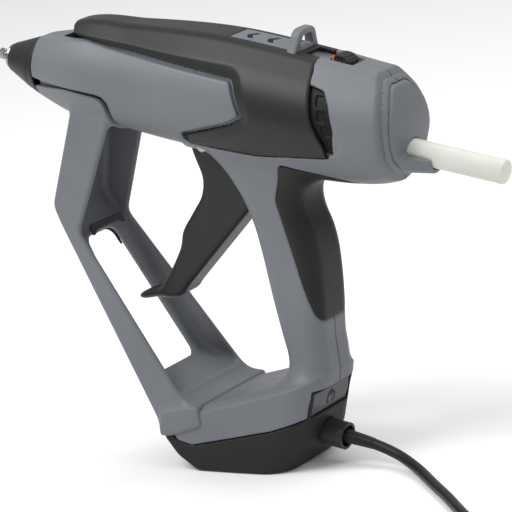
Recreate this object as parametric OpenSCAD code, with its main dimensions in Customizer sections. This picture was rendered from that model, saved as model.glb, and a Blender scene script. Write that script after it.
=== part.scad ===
// Corded hot-melt glue gun that stands on its foot, in millimetres, +Z up.
// The origin is the middle of the foot's flat bottom. The nozzle points towards -X.
// Barrel pieces are drawn about the glue stick's axis, x = 0 at the stick inlet, and tilted as one.

/* [Stance] */
// Nose-up angle of the barrel when the gun stands on its foot, in degrees
tilt = 10.5; // [8:0.5:12]
// Height of the stick inlet above the foot's bottom
inlet_z = 151; // [146:1:156]
// Distance of the stick inlet behind the middle of the foot
inlet_x = 100; // [96:1:104]

/* [Barrel] */
// Length of the barrel shell from its front edge to the stick inlet
barrel_len = 206; // [196:1:216]
// Greatest width of the barrel
barrel_w = 57; // [54:1:64]
// Thickness of the cover, the collar and the top inlay
layer_t = 2; // [1.6:0.1:2.4]
// Wall of the housing behind those layers
shell_wall = 2.2; // [1.8:0.1:2.6]

/* [Glue stick] */
// Diameter of the glue stick
stick_d = 11.2; // [9.6:0.1:12]
// Length of the glue stick
stick_len = 196; // [190:1:200]
// Length of stick that stands out behind the inlet
stick_out = 44.7; // [35:0.1:50]
// Radial clearance of the stick in its guides
stick_clear = 0.4; // [0.3:0.05:0.6]

/* [Trigger] */
// Width of the trigger
trigger_w = 18; // [15:0.5:20]
// Gap between the trigger and the slot on each side
trigger_gap = 0.5; // [0.4:0.1:0.8]
// Diameter of the trigger's pivot pin
pin_d = 5; // [4:0.5:6]
// Full pull of the trigger, in degrees
trigger_pull = 22; // [16:1:22]
// Radial clearance of the trigger on its pin
pin_clear = 0.05; // [0.02:0.01:0.08]

/* [Handle and base] */
// Width of the handle
handle_w = 31; // [30:0.5:36]
// Thickness of the rubber grip
grip_t = 1.8; // [1.4:0.1:2.2]
// Wall of the handle and of the base
handle_wall = 2.6; // [2.2:0.1:3]
// Width of the base at its front
base_front_w = 62; // [58:1:66]
// Width of the base where its rear corners start
base_rear_w = 50; // [46:1:52]
// Wall of the foot
foot_wall = 3; // [2.4:0.1:3.4]

/* [Stand bow] */
// Width of the bow where it leaves the barrel
bow_top_w = 33; // [30:1:36]
// Thickness of the bow's side walls
bow_wall = 2.6; // [2:0.1:3.2]
// Thickness of the bow's front web
bow_web = 3; // [2.4:0.1:3.6]

/* [Power cord] */
// Diameter of the cord
cord_d = 5; // [4.6:0.1:5.4]
// Outer diameter of the cable gland
gland_d = 13; // [12:0.5:14]

/* [Hidden] */

$fn = 48;
fit = 0.1;                // gap between pieces that sit against each other
run_gap = 0.3;            // gap between pieces that move past each other
big = 400;                // longer than the gun in every direction
stick_r = stick_d / 2;
guide_r = stick_r + stick_clear;
pin_r = pin_d / 2;
cavity_in = layer_t + shell_wall;
handle_half = handle_w / 2;

// Barrel stations from the front to the inlet: how far the top, the underside, each side and the
// upper and lower 45 degree faces stand from the stick's axis
stations = [
    [-barrel_len, 13.2, 13.8, 0.24 * barrel_w, 13.8, 13.8],
    [-barrel_len + 22, 26.5, 21, 0.37 * barrel_w, 23.4, 19.4],
    [-150, 31, 22.5, 0.45 * barrel_w, 28.5, 22.5],
    [-100, 36.5, 23, 0.5 * barrel_w, 33.6, 24.2],
    [-60, 36.3, 23, 0.5 * barrel_w, 33.4, 24.2],
    [-30, 35.2, 21.3, 0.47 * barrel_w, 32.2, 22.3],
    [-10, 34, 17.5, 0.42 * barrel_w, 30.6, 18.6],
    [-4, 31.5, 14, 0.37 * barrel_w, 28, 15.6]];
front_r = stations[0][1];
rear_face_x = -4;

// ---- outlines ----
function unit(v) = v / norm(v);
function left_normal(a, b) = let (u = unit(b - a)) [-u[1], u[0]];
// Moves each corner of an anticlockwise outline inwards by d
function inset_outline(p, d) = [for (i = [0:len(p) - 1])
    let (a = p[(i + len(p) - 1) % len(p)], b = p[i], c = p[(i + 1) % len(p)],
        n = left_normal(a, b), m = unit(n + left_normal(b, c)))
    b + m * d / max(0.5, m * n)];
function arc(c, r, from, to, steps = 5) =
    [for (i = [0:steps]) let (t = from + (to - from) * i / steps) c + r * [cos(t), sin(t)]];
// A point of the barrel frame, given in the gun's own frame
function barrel_point(x, z) = [inlet_x + x * cos(tilt) + z * sin(tilt), inlet_z - x * sin(tilt) + z * cos(tilt)];

tube_sides = 10;
function along(route, i) = unit(route[min(i + 1, len(route) - 1)] - route[max(i - 1, 0)]);
function ring(p, dir, r) = let (side = unit(cross([0, 1, 0.3], dir)), up = cross(dir, side))
    [for (k = [0:tube_sides - 1]) let (a = 360 * (k + 0.5) / tube_sides) p + r * (cos(a) * side + sin(a) * up)];

// One closed round tube along a route
module swept_tube(route, r, tint) {
    n = len(route);
    s = tube_sides;
    points = [for (i = [0:n - 1]) each ring(route[i], along(route, i), r)];
    walls = [for (i = [0:n - 2], k = [0:s - 1])
        [i * s + k, (i + 1) * s + k, (i + 1) * s + (k + 1) % s, i * s + (k + 1) % s]];
    ends = [[for (k = [0:s - 1]) k], [for (k = [s - 1:-1:0]) (n - 1) * s + k]];
    color(tint)
        polyhedron(points = points, faces = concat(walls, ends), convexity = 4);
}

// Side-view outline, (x, z), made w wide about the middle plane
module slab(w) {
    rotate([90, 0, 0])
        linear_extrude(w, center = true)
            children();
}

// Front-view outline, (y, z), made long in X from x0 to x1
module along_x(x0, x1) {
    translate([x0, 0, 0])
        rotate([90, 0, 90])
            linear_extrude(x1 - x0)
                children();
}

module on_barrel() {
    translate([inlet_x, 0, inlet_z])
        rotate([0, tilt, 0])
            children();
}

module rod_x(r, x0, x1, y = 0, z = 0) {
    translate([x0, y, z])
        rotate([0, 90, 0])
            cylinder(h = x1 - x0, r = r);
}

module rod_y(r, w, x = 0, z = 0) {
    translate([x, w / 2, z])
        rotate([90, 0, 0])
            cylinder(h = w, r = r);
}

module both_sides() {
    children();
    mirror([0, 1, 0])
        children();
}

// ---- barrel ----
// Outline through column a above the axis and column b below it, anticlockwise, taken inwards by d
function station_outline(a, b, d) = inset_outline(concat(
    [for (s = stations) [s[0], -s[b]]],
    [for (i = [len(stations) - 1:-1:0]) [stations[i][0], stations[i][a]]]), d);

// Outer form of the barrel, taken inwards by d: four prisms that cross along its axis
module barrel_form(d = 0) {
    intersection() {
        slab(big)
            polygon(station_outline(1, 2, d));
        rotate([90, 0, 0])
            slab(big)
                polygon(station_outline(3, 3, d));
        for_diagonal(45, d);
        for_diagonal(-45, d);
    }
}

module for_diagonal(turn, d) {
    rotate([turn, 0, 0])
        slab(big)
            polygon(station_outline(4, 5, d));
}

// Side view of the black cover, in the barrel's frame
cover_low = [[-112.5, -11], [-108.4, -14.3], [-73, -12.5], [-33, -5]];
cover_outline = concat([[-barrel_len + 25, 22]], cover_low,
    [[-43.5, 27], [-55, 45], [-barrel_len + 22, 45]]);
panel_window = [[-barrel_len + 25, 22], [-112.5, -11], [-83, 1], [-77, 6], [-86, 22]];
collar_outline = [[-barrel_len - 1, -30], [-160, -30], [-160, -6], [-164, -3], [-barrel_len - 1, -3]];
inlay_x = [-97, -63];
inlay_w = 15;

module cover_region(extra = 0) {
    slab(big)
        polygon(inset_outline(cover_outline, -extra));
}

module panel_region() {
    slab(big)
        polygon(panel_window);
}

module collar_region(extra = 0) {
    slab(big)
        polygon(inset_outline(collar_outline, -extra));
}

module inlay_region(extra = 0) {
    translate([inlay_x[0] - extra, -inlay_w / 2 - extra, 28])
        cube([inlay_x[1] - inlay_x[0] + 2 * extra, inlay_w + 2 * extra, 20]);
}

module barrel_cover() {
    color("#343536")
        on_barrel()
            difference() {
                intersection() {
                    barrel_form();
                    difference() {
                        cover_region();
                        panel_region();
                        inlay_region(fit);
                    }
                }
                barrel_form(layer_t);
                loop_foot(fit);
                adjuster_track();
            }
}

chevron_x = [-88, -76];

module top_inlay() {
    color("#86898d")
        on_barrel()
            difference() {
                intersection() {
                    barrel_form();
                    inlay_region();
                }
                barrel_form(layer_t);
                for (x = chevron_x)
                    translate([x, 0, 36])
                        linear_extrude(6)
                            polygon([[0, 0], [4, -5], [7, -5], [3, 0], [7, 5], [4, 5]]);
            }
}

// ---- hanging loop ----
loop_x = -62;
loop_t = 5;
loop_top = 47;
loop_seat_z = 34.4;
loop_hole_z = [37.2, 43.6];
loop_hole_w = 7.5;

module loop_foot(extra = 0) {
    translate([loop_x - extra, -8 - extra, 20])
        cube([loop_t + 2 * extra, 16 + 2 * extra, 30]);
}

module hanging_loop() {
    color("#86898d")
        on_barrel()
            difference() {
                along_x(loop_x, loop_x + loop_t)
                    polygon(concat([[-8, loop_seat_z], [8, loop_seat_z]],
                        arc([3.2, loop_top - 4], 4, 20, 90), arc([-3.2, loop_top - 4], 4, 90, 160)));
                along_x(loop_x - 1, loop_x + loop_t + 1)
                    polygon([[-loop_hole_w / 2, loop_hole_z[0]], [loop_hole_w / 2, loop_hole_z[0]],
                        [loop_hole_w / 2 - 1.2, loop_hole_z[1]], [-loop_hole_w / 2 + 1.2, loop_hole_z[1]]]);
            }
}

// ---- nozzle and melt chamber ----
nose_len = 16;
nose_front_r = 6.3;
neck_r = 5;
nozzle_tip_x = -230.5;
nozzle_thread_r = 3.4;
hex_r = 4;
melt_r = 10.5;
melt_x = [-198, -138];
melt_bore_end = -176;
glue_way_r = 1;

module nose_cap() {
    color("#2c2d2e")
        on_barrel()
            difference() {
                translate([-barrel_len - nose_len, 0, 0])
                    rotate([0, 90, 0])
                        cylinder(h = nose_len, r1 = nose_front_r, r2 = front_r);
                rod_x(neck_r + run_gap, -barrel_len - nose_len - 1, -barrel_len + 1);
            }
}

module nozzle() {
    flange_x = -barrel_len - nose_len;
    color("#c9ccd0")
        on_barrel()
            difference() {
                union() {
                    rod_x(nozzle_thread_r, flange_x, flange_x + 9);
                    rod_x(neck_r, flange_x - 0.9, flange_x);
                    rotate([0, 90, 0])
                        translate([0, 0, flange_x - 4])
                            cylinder(h = 3.2, r = hex_r, $fn = 6);
                    translate([nozzle_tip_x + 1.8, 0, 0])
                        rotate([0, 90, 0])
                            cylinder(h = flange_x - 4 - nozzle_tip_x - 1.8, r1 = 1.6, r2 = 2.9);
                    rod_x(1.6, nozzle_tip_x, nozzle_tip_x + 2);
                }
                rod_x(glue_way_r, nozzle_tip_x - 1, flange_x + 10);
            }
}

module melt_chamber() {
    neck_x = -barrel_len - nose_len + fit;
    color("#b4b7ba")
        on_barrel()
            difference() {
                union() {
                    rod_x(melt_r, melt_x[0], melt_x[1]);
                    rod_x(neck_r, neck_x, melt_x[0]);
                }
                rod_x(guide_r, melt_bore_end, melt_x[1] + 1);
                rod_x(glue_way_r, neck_x - 1, melt_bore_end + 1);
                rod_x(nozzle_thread_r + 0.02, neck_x - 1, neck_x + 10);
                heater_seats();
            }
}

heater_x = [-186, -154];
heater_w = 12;
heater_t = 2.4;
heater_z = 8.6;

// Flats on the top and the underside of the chamber, where the heater plates lie
module heater_seats() {
    for (z = [heater_z, -heater_z - 6])
        translate([heater_x[0] - fit, -heater_w / 2 - fit, z])
            cube([heater_x[1] - heater_x[0] + 2 * fit, heater_w + 2 * fit, 6]);
}

module heater_plates() {
    color("#d8d2c4")
        on_barrel()
            for (z = [heater_z + fit, -heater_z - fit - heater_t])
                translate([heater_x[0], -heater_w / 2, z])
                    cube([heater_x[1] - heater_x[0], heater_w, heater_t]);
}

clamp_x = [-194, -150];
clamp_t = 4;

// Two insulating rings that carry the hot chamber in the housing
module chamber_clamps() {
    color("#4a443c")
        on_barrel()
            for (x = clamp_x)
                difference() {
                    intersection() {
                        barrel_form(cavity_in + fit);
                        translate([x, -big / 2, -big / 2])
                            cube([clamp_t, big, big]);
                    }
                    rod_x(melt_r + fit, x - 1, x + clamp_t + 1);
                }
}

module thermal_fuse() {
    color("#d9d5c8")
        on_barrel()
            rod_x(2, -146, -140.5, 0, melt_r + 2 + fit);
}

sleeve_len = 16;

module inlet_sleeve() {
    color("#a0402c")
        on_barrel()
            difference() {
                rod_x(guide_r + 2.4, melt_x[1] + fit, melt_x[1] + sleeve_len);
                rod_x(guide_r, melt_x[1] - 1, melt_x[1] + sleeve_len + 1);
            }
}

// ---- rear end ----
cap_in = 3.2;
cap_face_x = 0;
lip_len = 11;
guide_tube_x = [-44, -8];

// The rear cap's outline, a copy of the rear of the barrel taken inwards by d
function rear_outline(d) = let (s = stations[len(stations) - 1], t = s[1] - d, b = s[2] - d, w = s[3] - d,
    up = sqrt(2) * (s[4] - d), low = sqrt(2) * (s[5] - d))
    [[w, w - low], [w, up - w], [up - t, t], [t - up, t], [-w, up - w], [-w, w - low], [b - low, -b], [low - b, -b]];

module rear_plug(x0, x1, d) {
    along_x(x0, x1)
        polygon(rear_outline(d));
}

module rear_cap() {
    color("#7f8286")
        on_barrel()
            difference() {
                union() {
                    rear_plug(rear_face_x - 4, cap_face_x, cap_in);
                    rod_x(guide_r + 2.6, rear_face_x - 4, lip_len);
                }
                translate([cap_face_x, -big / 2, -1])
                    cube([big, big, big]);
                rod_x(guide_r, -big, big);
            }
}

module stick_guide() {
    color("#3b3c3e")
        on_barrel()
            difference() {
                union() {
                    rod_x(guide_r + 1.8, guide_tube_x[0], guide_tube_x[1] - fit);
                    rod_x(guide_r + 4, guide_tube_x[1] - 3, guide_tube_x[1] - fit);
                }
                rod_x(guide_r, guide_tube_x[0] - 1, guide_tube_x[1] + 1);
            }
}

// Recessed air vent beside the cover's rear edge
vent_outline = [[-44, 18], [-31, -3], [-24, 1], [-30, 18], [-36, 25], [-43, 25.5]];
vent_slots = [[-36.5, 19.5, 1.4], [-34.5, 14, 1.4], [-31.5, 7, 1.6], [-30, 3, 1.6]];
vent_depth = 3;

module vent_region(extra = 0) {
    slab(big)
        polygon(inset_outline(vent_outline, -extra));
}

module vent_inserts() {
    color("#1c1d1e")
        on_barrel()
            difference() {
                intersection() {
                    barrel_form(vent_depth);
                    vent_region();
                }
                barrel_form(cavity_in);
                for (v = vent_slots)
                    rod_y(v[2], big, v[0], v[1]);
            }
}

// ---- feed adjuster on top ----
track_x = [-57, -33];
track_z = 33.4;
knob_x = [-46.5, -34];
knob_w = 12;
stem_w = 3;
adjuster_travel = 8;

module adjuster_track() {
    translate([track_x[0], -knob_w / 2 - run_gap, track_z])
        cube([track_x[1] - track_x[0], knob_w + 2 * run_gap, 10]);
    translate([knob_x[0] + 3 - adjuster_travel, -stem_w / 2 - run_gap, 20])
        cube([6 + adjuster_travel, stem_w + 2 * run_gap, 20]);
}

module knob_outline() {
    polygon([[knob_x[0], track_z + run_gap], [knob_x[1], track_z + run_gap], [knob_x[1] - 0.6, 36],
        [-38, 38.6], [-42.5, 38.8], [knob_x[0] + 0.8, 36]]);
}

module band_region(extra = 0) {
    translate([-44.6 - extra, -big / 2, 30])
        cube([1.8 + 2 * extra, big, 20]);
}

module adjuster_knob() {
    color("#222324")
        on_barrel() {
            difference() {
                slab(knob_w)
                    knob_outline();
                band_region(0.02);
            }
            translate([knob_x[0] + 4, -stem_w / 2, 28.5])
                cube([4, stem_w, track_z + 1 - 28.5]);
            translate([knob_x[0] + 2, -4, 26.5])
                cube([8, 8, 2]);
            translate([-44.8, -stem_w / 2, track_z + run_gap])
                cube([2.2, stem_w, 1.2]);
        }
}

module adjuster_band() {
    color("#ee7a3a")
        on_barrel()
            difference() {
                intersection() {
                    slab(knob_w)
                        knob_outline();
                    band_region();
                }
                translate([-45, -stem_w / 2 - 0.02, 30])
                    cube([4, stem_w + 0.04, track_z + run_gap + 1.22 - 30]);
            }
}

// ---- handle and base ----
// Side view, anticlockwise in (x, z), in the gun's own frame
handle_rear = [[43, 37], [44.5, 50], [44.2, 60], [46.8, 84], [47.4, 98], [46.2, 112],
    [42.5, 122], [42, 130], [46, 138], [52, 146]];
handle_front = [[2, 156], [1, 147], [5, 138], [10, 128], [15, 112], [18, 95], [20.5, 78], [24, 60],
    [26, 50], [21, 37]];
handle_outline = concat(handle_rear, handle_front);
grip_outline = [[47, 68], [60, 66], [60, 150], [38, 150], [37, 146], [31, 130], [38, 104], [44, 74]];
base_outline = [[-31, 18.3], [-26.5, 13.8], [-21.4, 12.8], [21.4, 21.5], [39, 27], [50, 27], [50, 46],
    [24, 46], [12, 40], [-16.2, 30.6], [-15.5, 23.2]];
foot_outline = [[-19.6, 0], [26.5, 0], [29, 1.5], [36, 15], [43.6, 39.2], [37, 39.2], [37, 26.3],
    [21.4, 21.3], [-21.4, 12.6], [-26.6, 13.6], [-31.1, 18.1], [-36.3, 17.3], [-30.2, 8], [-25.3, 2.7]];
rear_corner_r = 14;
rear_corner_x = 30;
base_front_x = -38;

// Plan of the base, taken inwards by d
function base_plan(d = 0) = let (f = base_front_w / 2 - d, r = base_rear_w / 2 - rear_corner_r)
    concat([[base_front_x + 5 + d, -f], [0, -(base_front_w + base_rear_w) / 4 - 0.6 + d]],
        arc([rear_corner_x, -r], rear_corner_r - d, -84, 0),
        arc([rear_corner_x, r], rear_corner_r - d, 0, 84),
        [[0, (base_front_w + base_rear_w) / 4 + 0.6 - d], [base_front_x + 5 + d, f],
            [base_front_x + d, f - 6], [base_front_x + d, -f + 6]]);

module base_prism(d = 0) {
    linear_extrude(60)
        polygon(base_plan(d));
}

// The handle's body: its outline is drawn in next to each flank
module handle_form(d = 0) {
    for (flank = [[0, 3.4], [3.4, 0]])
        slab(2 * (handle_half - flank[0] - d))
            polygon(inset_outline(handle_outline, flank[1] + d));
}

module base_form(d = 0) {
    intersection() {
        base_prism(d);
        slab(big)
            polygon(inset_outline(base_outline, d));
    }
}

// ---- trigger slot and pivot ----
pivot_x = -104;
pivot_z = -16;
pivot = barrel_point(pivot_x, pivot_z);
trigger_slot = [[-26, 140], [-2, 108], [26, 106], [30, 118], [30, 150], [12, 172], [-26, 172]];
boss_r = pin_r + 2.5;
pin_len = 33;
pivot_boss_len = 7.6;
arm_y = [9.9, 12.4];

module trigger_slot_cut() {
    slab(trigger_w + 2 * trigger_gap)
        polygon(trigger_slot);
    // room for the arms above the pivot, open into the barrel
    on_barrel()
        translate([pivot_x - 14, -arm_y[1] - trigger_gap, pivot_z - 8])
            cube([32, 2 * (arm_y[1] + trigger_gap), 16]);
}

// ---- screws ----
// Places (x, z) and half length of the bosses: barrel and handle, in the gun's own frame
screw_places = [concat(barrel_point(-172, 15), 19), concat(barrel_point(-66, 22), 24),
    concat(barrel_point(-24, 19), 21.5), [33, 98, 13], [36, 63, 13]];
screw_shank_r = 1.5;
screw_head_r = 2.8;
screw_sink = 9;
screw_boss_r = 3.6;

module at_screws() {
    for (p = screw_places)
        translate([p[0], 0, p[1]])
            children();
}

module screw_bosses() {
    for (p = screw_places)
        rod_y(screw_boss_r, 2 * p[2], p[0], p[1]);
}

module screw_holes() {
    at_screws() {
        rod_y(screw_shank_r + fit, 2 * screw_sink);
        translate([0, screw_sink - 0.1, 0])
            rotate([-90, 0, 0])
                cylinder(h = 40, r = screw_head_r + fit);
    }
}

module housing_screws() {
    color("#9a9da1")
        at_screws() {
            translate([0, -7, 0])
                rotate([-90, 0, 0])
                    cylinder(h = 7 + screw_sink, r = screw_shank_r);
            difference() {
                translate([0, screw_sink, 0])
                    rotate([-90, 0, 0])
                        cylinder(h = 2, r = screw_head_r);
                translate([0, screw_sink + 1, 0])
                    rotate([-90, 0, 0])
                        cylinder(h = 2, r = 1.4, $fn = 6);
            }
        }
}

// ---- housing ----
module housing_solid() {
    difference() {
        union() {
            on_barrel()
                barrel_form();
            handle_form();
            base_form();
        }
        on_barrel() {
            difference() {
                union() {
                    difference() {
                        cover_region(fit);
                        panel_region();
                    }
                    collar_region(fit);
                    vent_region(fit);
                }
                barrel_form(layer_t + fit);
            }
            translate([-big / 2 - barrel_len, -big / 2, -big / 2])
                cube([big / 2, big, big]);
        }
        difference() {
            slab(big)
                polygon(grip_outline);
            handle_form(grip_t + fit);
            on_barrel()
                barrel_form();
        }
    }
}

module housing_hollow() {
    on_barrel() {
        barrel_form(cavity_in);
        rod_x(neck_r + run_gap, -big, 0);
        rear_plug(rear_face_x - cavity_in - fit, 10, cap_in - fit);
        vent_region(fit);
        adjuster_track();
    }
    handle_form(grip_t + handle_wall);
    base_form(handle_wall);
    translate([18, -handle_half + 6, 30])
        cube([18, handle_w - 12, 20]);
    trigger_slot_cut();
    slab(2 * switch_half_w + 2 * fit)
        polygon([[36.9, 20], [60, 20], [60, 39.3], [36.9, 39.3]]);
    rocker_window();
}

module housing() {
    difference() {
        union() {
            difference() {
                housing_solid();
                housing_hollow();
            }
            intersection() {
                housing_solid();
                union() {
                    screw_bosses();
                    pivot_bosses();
                }
            }
        }
        screw_holes();
        rod_y(pin_r + pin_clear, 2 * 17, pivot[0], pivot[1]);
        on_barrel()
            adjuster_track();
    }
}

// Bearings for the pivot pin, outside the trigger's arms
module pivot_bosses() {
    both_sides()
        translate([pivot[0], -arm_y[1] - trigger_gap, pivot[1]])
            rotate([90, 0, 0])
                cylinder(h = pivot_boss_len, r = boss_r);
}

module half_space(side) {
    translate([-big, side > 0 ? 0 : -big, -big / 2])
        cube([2 * big, big, 2 * big]);
}

module housing_left() {
    color("#83868c")
        intersection() {
            housing();
            half_space(-1);
        }
}

module housing_right() {
    color("#83868c")
        intersection() {
            housing();
            half_space(1);
        }
}

module trigger_pin() {
    color("#b9bcc0")
        rod_y(pin_r, pin_len, pivot[0], pivot[1]);
}

spring_turns = 5;
spring_wire = 1;

// Return spring: turns around the pin between the trigger's cheeks
module trigger_spring() {
    color("#8d9094")
        translate([pivot[0], 0, pivot[1]])
            rotate([90, 0, 0])
                for (i = [0:spring_turns - 1])
                    translate([0, 0, (i - (spring_turns - 1) / 2) * spring_wire])
                        rotate_extrude()
                            translate([pin_r + pin_clear + spring_wire / 2 + 0.2, 0])
                                square(spring_wire, center = true);
}

module handle_grip() {
    color("#2f3030")
        difference() {
            intersection() {
                handle_form();
                slab(big)
                    polygon(inset_outline(grip_outline, fit));
            }
            handle_form(grip_t);
            on_barrel()
                barrel_form(-fit);
        }
}

// ---- trigger ----
trigger_outline = [[-56, 79.5], [-59.4, 76.8], [-57, 75], [-47, 77.2], [-41, 77], [-36, 77.4],
    [-31.5, 79.6], [-29.4, 82.5], [14, 125], [15, 132], [8, 148], [2, 158], [-12, 158], [-18, 153],
    [-16, 146], [-12.6, 137], [-14.5, 128], [-28.2, 110.5], [-29.7, 103], [-36.5, 92], [-44, 82.7], [-48, 80.6]];
hook_x = -44;
trigger_wall = 2.6;
carriage_pin_r = 2;
arm_lean = trigger_pull / 2;
arm_h = -pivot_z;

module trigger_arm() {
    rotate([0, arm_lean, 0])
        difference() {
            rotate([90, 0, 0])
                linear_extrude(arm_y[1] - arm_y[0])
                    polygon([[-5, 0], [5, 0], [4.6, arm_h + 4], [-4.6, arm_h + 4]]);
            translate([-carriage_pin_r - 0.4, -10, arm_h - carriage_pin_r - 0.8])
                cube([2 * carriage_pin_r + 0.8, 20, 30]);
        }
}

module trigger() {
    color("#2f3031")
        difference() {
            union() {
                difference() {
                    slab(trigger_w)
                        polygon(trigger_outline);
                    translate([trigger_wall + 1.4, 0, 0])
                        slab(trigger_w - 2 * trigger_wall)
                            polygon(trigger_outline);
                    // the finger rest is narrower than the lever
                    both_sides()
                        translate([hook_x - 30, trigger_w / 2 - 2, 60])
                            cube([30, 10, 25]);
                }
                rod_y(6, trigger_w, pivot[0], pivot[1]);
                both_sides()
                    translate([0, arm_y[1], 0])
                        on_barrel()
                            translate([pivot_x, 0, pivot_z])
                                trigger_arm();
                rod_y(5.4, 2 * arm_y[1], pivot[0], pivot[1]);
            }
            rod_y(pin_r + pin_clear, big, pivot[0], pivot[1]);
            // pocket for the spring between the cheeks
            rod_y(12, 2 * (spring_turns * spring_wire / 2 + run_gap), pivot[0], pivot[1]);
        }
}

// ---- feed carriage and stick ----
carriage_pin_x = pivot_x + arm_h * tan(arm_lean);
carriage_len = 18;
carriage_r = stick_r + 3.6;
jaw_x = [-104, -98];

module jaw_slot(extra) {
    translate([jaw_x[0] - extra, -3 - extra, stick_r + run_gap])
        cube([jaw_x[1] - jaw_x[0] + 2 * extra, 6 + 2 * extra, 20]);
}

module feed_carriage() {
    color("#5c5f63")
        on_barrel()
            difference() {
                union() {
                    rod_x(carriage_r, carriage_pin_x - carriage_len / 2, carriage_pin_x + carriage_len / 2);
                    rod_y(carriage_pin_r, 2 * (arm_y[1] + 0.6), carriage_pin_x, 0);
                }
                rod_x(stick_r + run_gap, -big, big);
                jaw_slot(0.02);
            }
}

module clamp_jaw() {
    color("#b08d4a")
        on_barrel()
            intersection() {
                jaw_slot(0);
                rod_x(carriage_r + 2.5, -big, big);
                translate([-big, -big / 2, 0])
                    cube([2 * big, big, carriage_r + 2]);
            }
}

module glue_stick() {
    color("#dedfda")
        on_barrel()
            rod_x(stick_r, stick_out - stick_len, stick_out);
}

// ---- stand bow ----
bow_rear = [[-16.5, 22.8], [-16.5, 31], [-27, 36.5], [-76.5, 108.5], [-77.5, 113], [-58, 161]];
bow_outline = concat([[-36.5, 17.6]], bow_rear, [[-80.5, 164], [-91.6, 124], [-90.8, 119], [-88.2, 115.5]]);
bow_z = [17, 170];

// Front view of the bow: it spreads from the barrel down to the base
function bow_half(z) = let (t = (z - bow_z[0]) / (bow_z[1] - bow_z[0]))
    base_front_w / 2 * (1 - t) + bow_top_w / 2 * t - 0.6 * (1 - t);

module bow_front_view(d = 0) {
    along_x(-big, big)
        polygon([[-bow_half(bow_z[0]) + d, bow_z[0]], [bow_half(bow_z[0]) - d, bow_z[0]],
            [bow_half(bow_z[1]) - d, bow_z[1]], [-bow_half(bow_z[1]) + d, bow_z[1]]]);
}

slot_top = [-82, 106];
slot_bottom = [-45, 43];
slot_half_w = [12, 19];
slot_round = 4;

// The opening in the web, drawn square to the web and wider towards the base
module bow_slot() {
    run = slot_top - slot_bottom;
    lean = atan2(run[1], run[0]);
    length = norm(run);
    translate([slot_bottom[0], 0, slot_bottom[1]])
        rotate([0, -lean, 0])
            translate([0, 0, -20])
                linear_extrude(40)
                    polygon(concat(
                        arc([slot_round, -slot_half_w[1] + slot_round], slot_round, 180, 270, 4),
                        arc([length - slot_round, -slot_half_w[0] + slot_round], slot_round, 270, 360, 4),
                        arc([length - slot_round, slot_half_w[0] - slot_round], slot_round, 0, 90, 4),
                        arc([slot_round, slot_half_w[1] - slot_round], slot_round, 90, 180, 4)));
}

module stand_bow() {
    color("#83868c") {
        difference() {
            intersection() {
                slab(big)
                    polygon(bow_outline);
                bow_front_view();
            }
            difference() {
                intersection() {
                    translate([bow_web, 0, 0])
                        slab(big)
                            polygon(concat([[-36.5, 17.6], [60, 17.6], [60, 180], [-80.5, 180]],
                                [[-80.5, 164], [-91.6, 124], [-90.8, 119], [-88.2, 115.5]]));
                    bow_front_view(bow_wall);
                }
                // the channel is closed next to the base
                slab(big)
                    polygon([[-60, 10], [0, 10], [0, 32], [-27, 38], [-50, 45], [-60, 60]]);
            }
            bow_slot();
            on_barrel()
                barrel_form(layer_t / 2);
        }
        on_barrel()
            difference() {
                intersection() {
                    barrel_form();
                    collar_region();
                }
                barrel_form(layer_t);
                rod_x(neck_r + run_gap, -big, 0);
            }
    }
}

// Rubber strip on the front of the bow's knee
module bow_pad() {
    color("#2b2c2c")
        intersection() {
            slab(big)
                polygon([[-80, 117], [-96, 114.6], [-84, 94], [-74, 96.5]]);
            difference() {
                translate([-1.6, 0, 0])
                    slab(2 * 14)
                        polygon([[-88.2, 115.5], [-36.5, 17.6], [-20, 17.6], [-70, 115.5]]);
                slab(big)
                    polygon([[-88.2 - fit, 115.5], [-36.5 - fit, 17.6], [0, 17.6], [-60, 117]]);
                bow_slot();
            }
        }
}

// ---- foot, switch and electrics ----
switch_half_w = 18;
gland_tilt = 10;
gland_at = [35, 14.9];
gland_len = 12;
gland_seat = 0.4;
rocker_pivot = [38.2, 32.4];
rear_lean = atan2(43.6 - 36, 39.2 - 15);

module foot_solid(d = 0) {
    intersection() {
        base_prism(d);
        slab(big)
            polygon(inset_outline(foot_outline, d));
    }
}

module on_gland() {
    translate([gland_at[0], 0, gland_at[1]])
        rotate([0, 90 + gland_tilt, 0])
            children();
}

rocker_h = 11.5;
rocker_w = 32;
rocker_t = 3;

// The rocker's frame: x outwards, square to the leaning rear face
module on_rear_face() {
    translate([rocker_pivot[0], 0, rocker_pivot[1]])
        rotate([0, rear_lean, 0])
            children();
}

rocker_pin_r = 1;
rocker_pin_len = 1;

// Opening that the rocker stands in, through the rear wall
module rocker_window() {
    on_rear_face()
        translate([-12, -rocker_w / 2 - run_gap, -rocker_h / 2 - run_gap])
            cube([20, rocker_w + 2 * run_gap, rocker_h + 2 * run_gap]);
}

foot_well_w = 36;

module base_foot() {
    color("#262727")
        difference() {
            foot_solid();
            // well for the control board, open towards the base above it
            translate([-20, -foot_well_w / 2, foot_wall])
                cube([46, foot_well_w, 40]);
            // the rear wall's corners belong to the housing
            both_sides()
                translate([26, switch_half_w, 26.2])
                    cube([40, 40, 30]);
            on_gland()
                translate([0, 0, -14])
                    cylinder(h = 40, r = gland_d / 2 - 1.5 + fit);
            on_gland()
                translate([0, 0, gland_seat - fit])
                    cylinder(h = 20, r = gland_d / 2 + fit);
            rocker_window();
            rod_y(rocker_pin_r + pin_clear, rocker_w + 2 * (rocker_pin_len + run_gap),
                rocker_pivot[0], rocker_pivot[1]);
            for (p = foot_screw_places)
                translate([p[0], p[1], -1]) {
                    cylinder(h = 30, r = screw_shank_r + fit);
                    cylinder(h = 2.4, r = screw_head_r + fit);
                }
        }
}

foot_screw_places = [[-15, -22.5], [-15, 22.5], [18, -21], [18, 21]];

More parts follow.
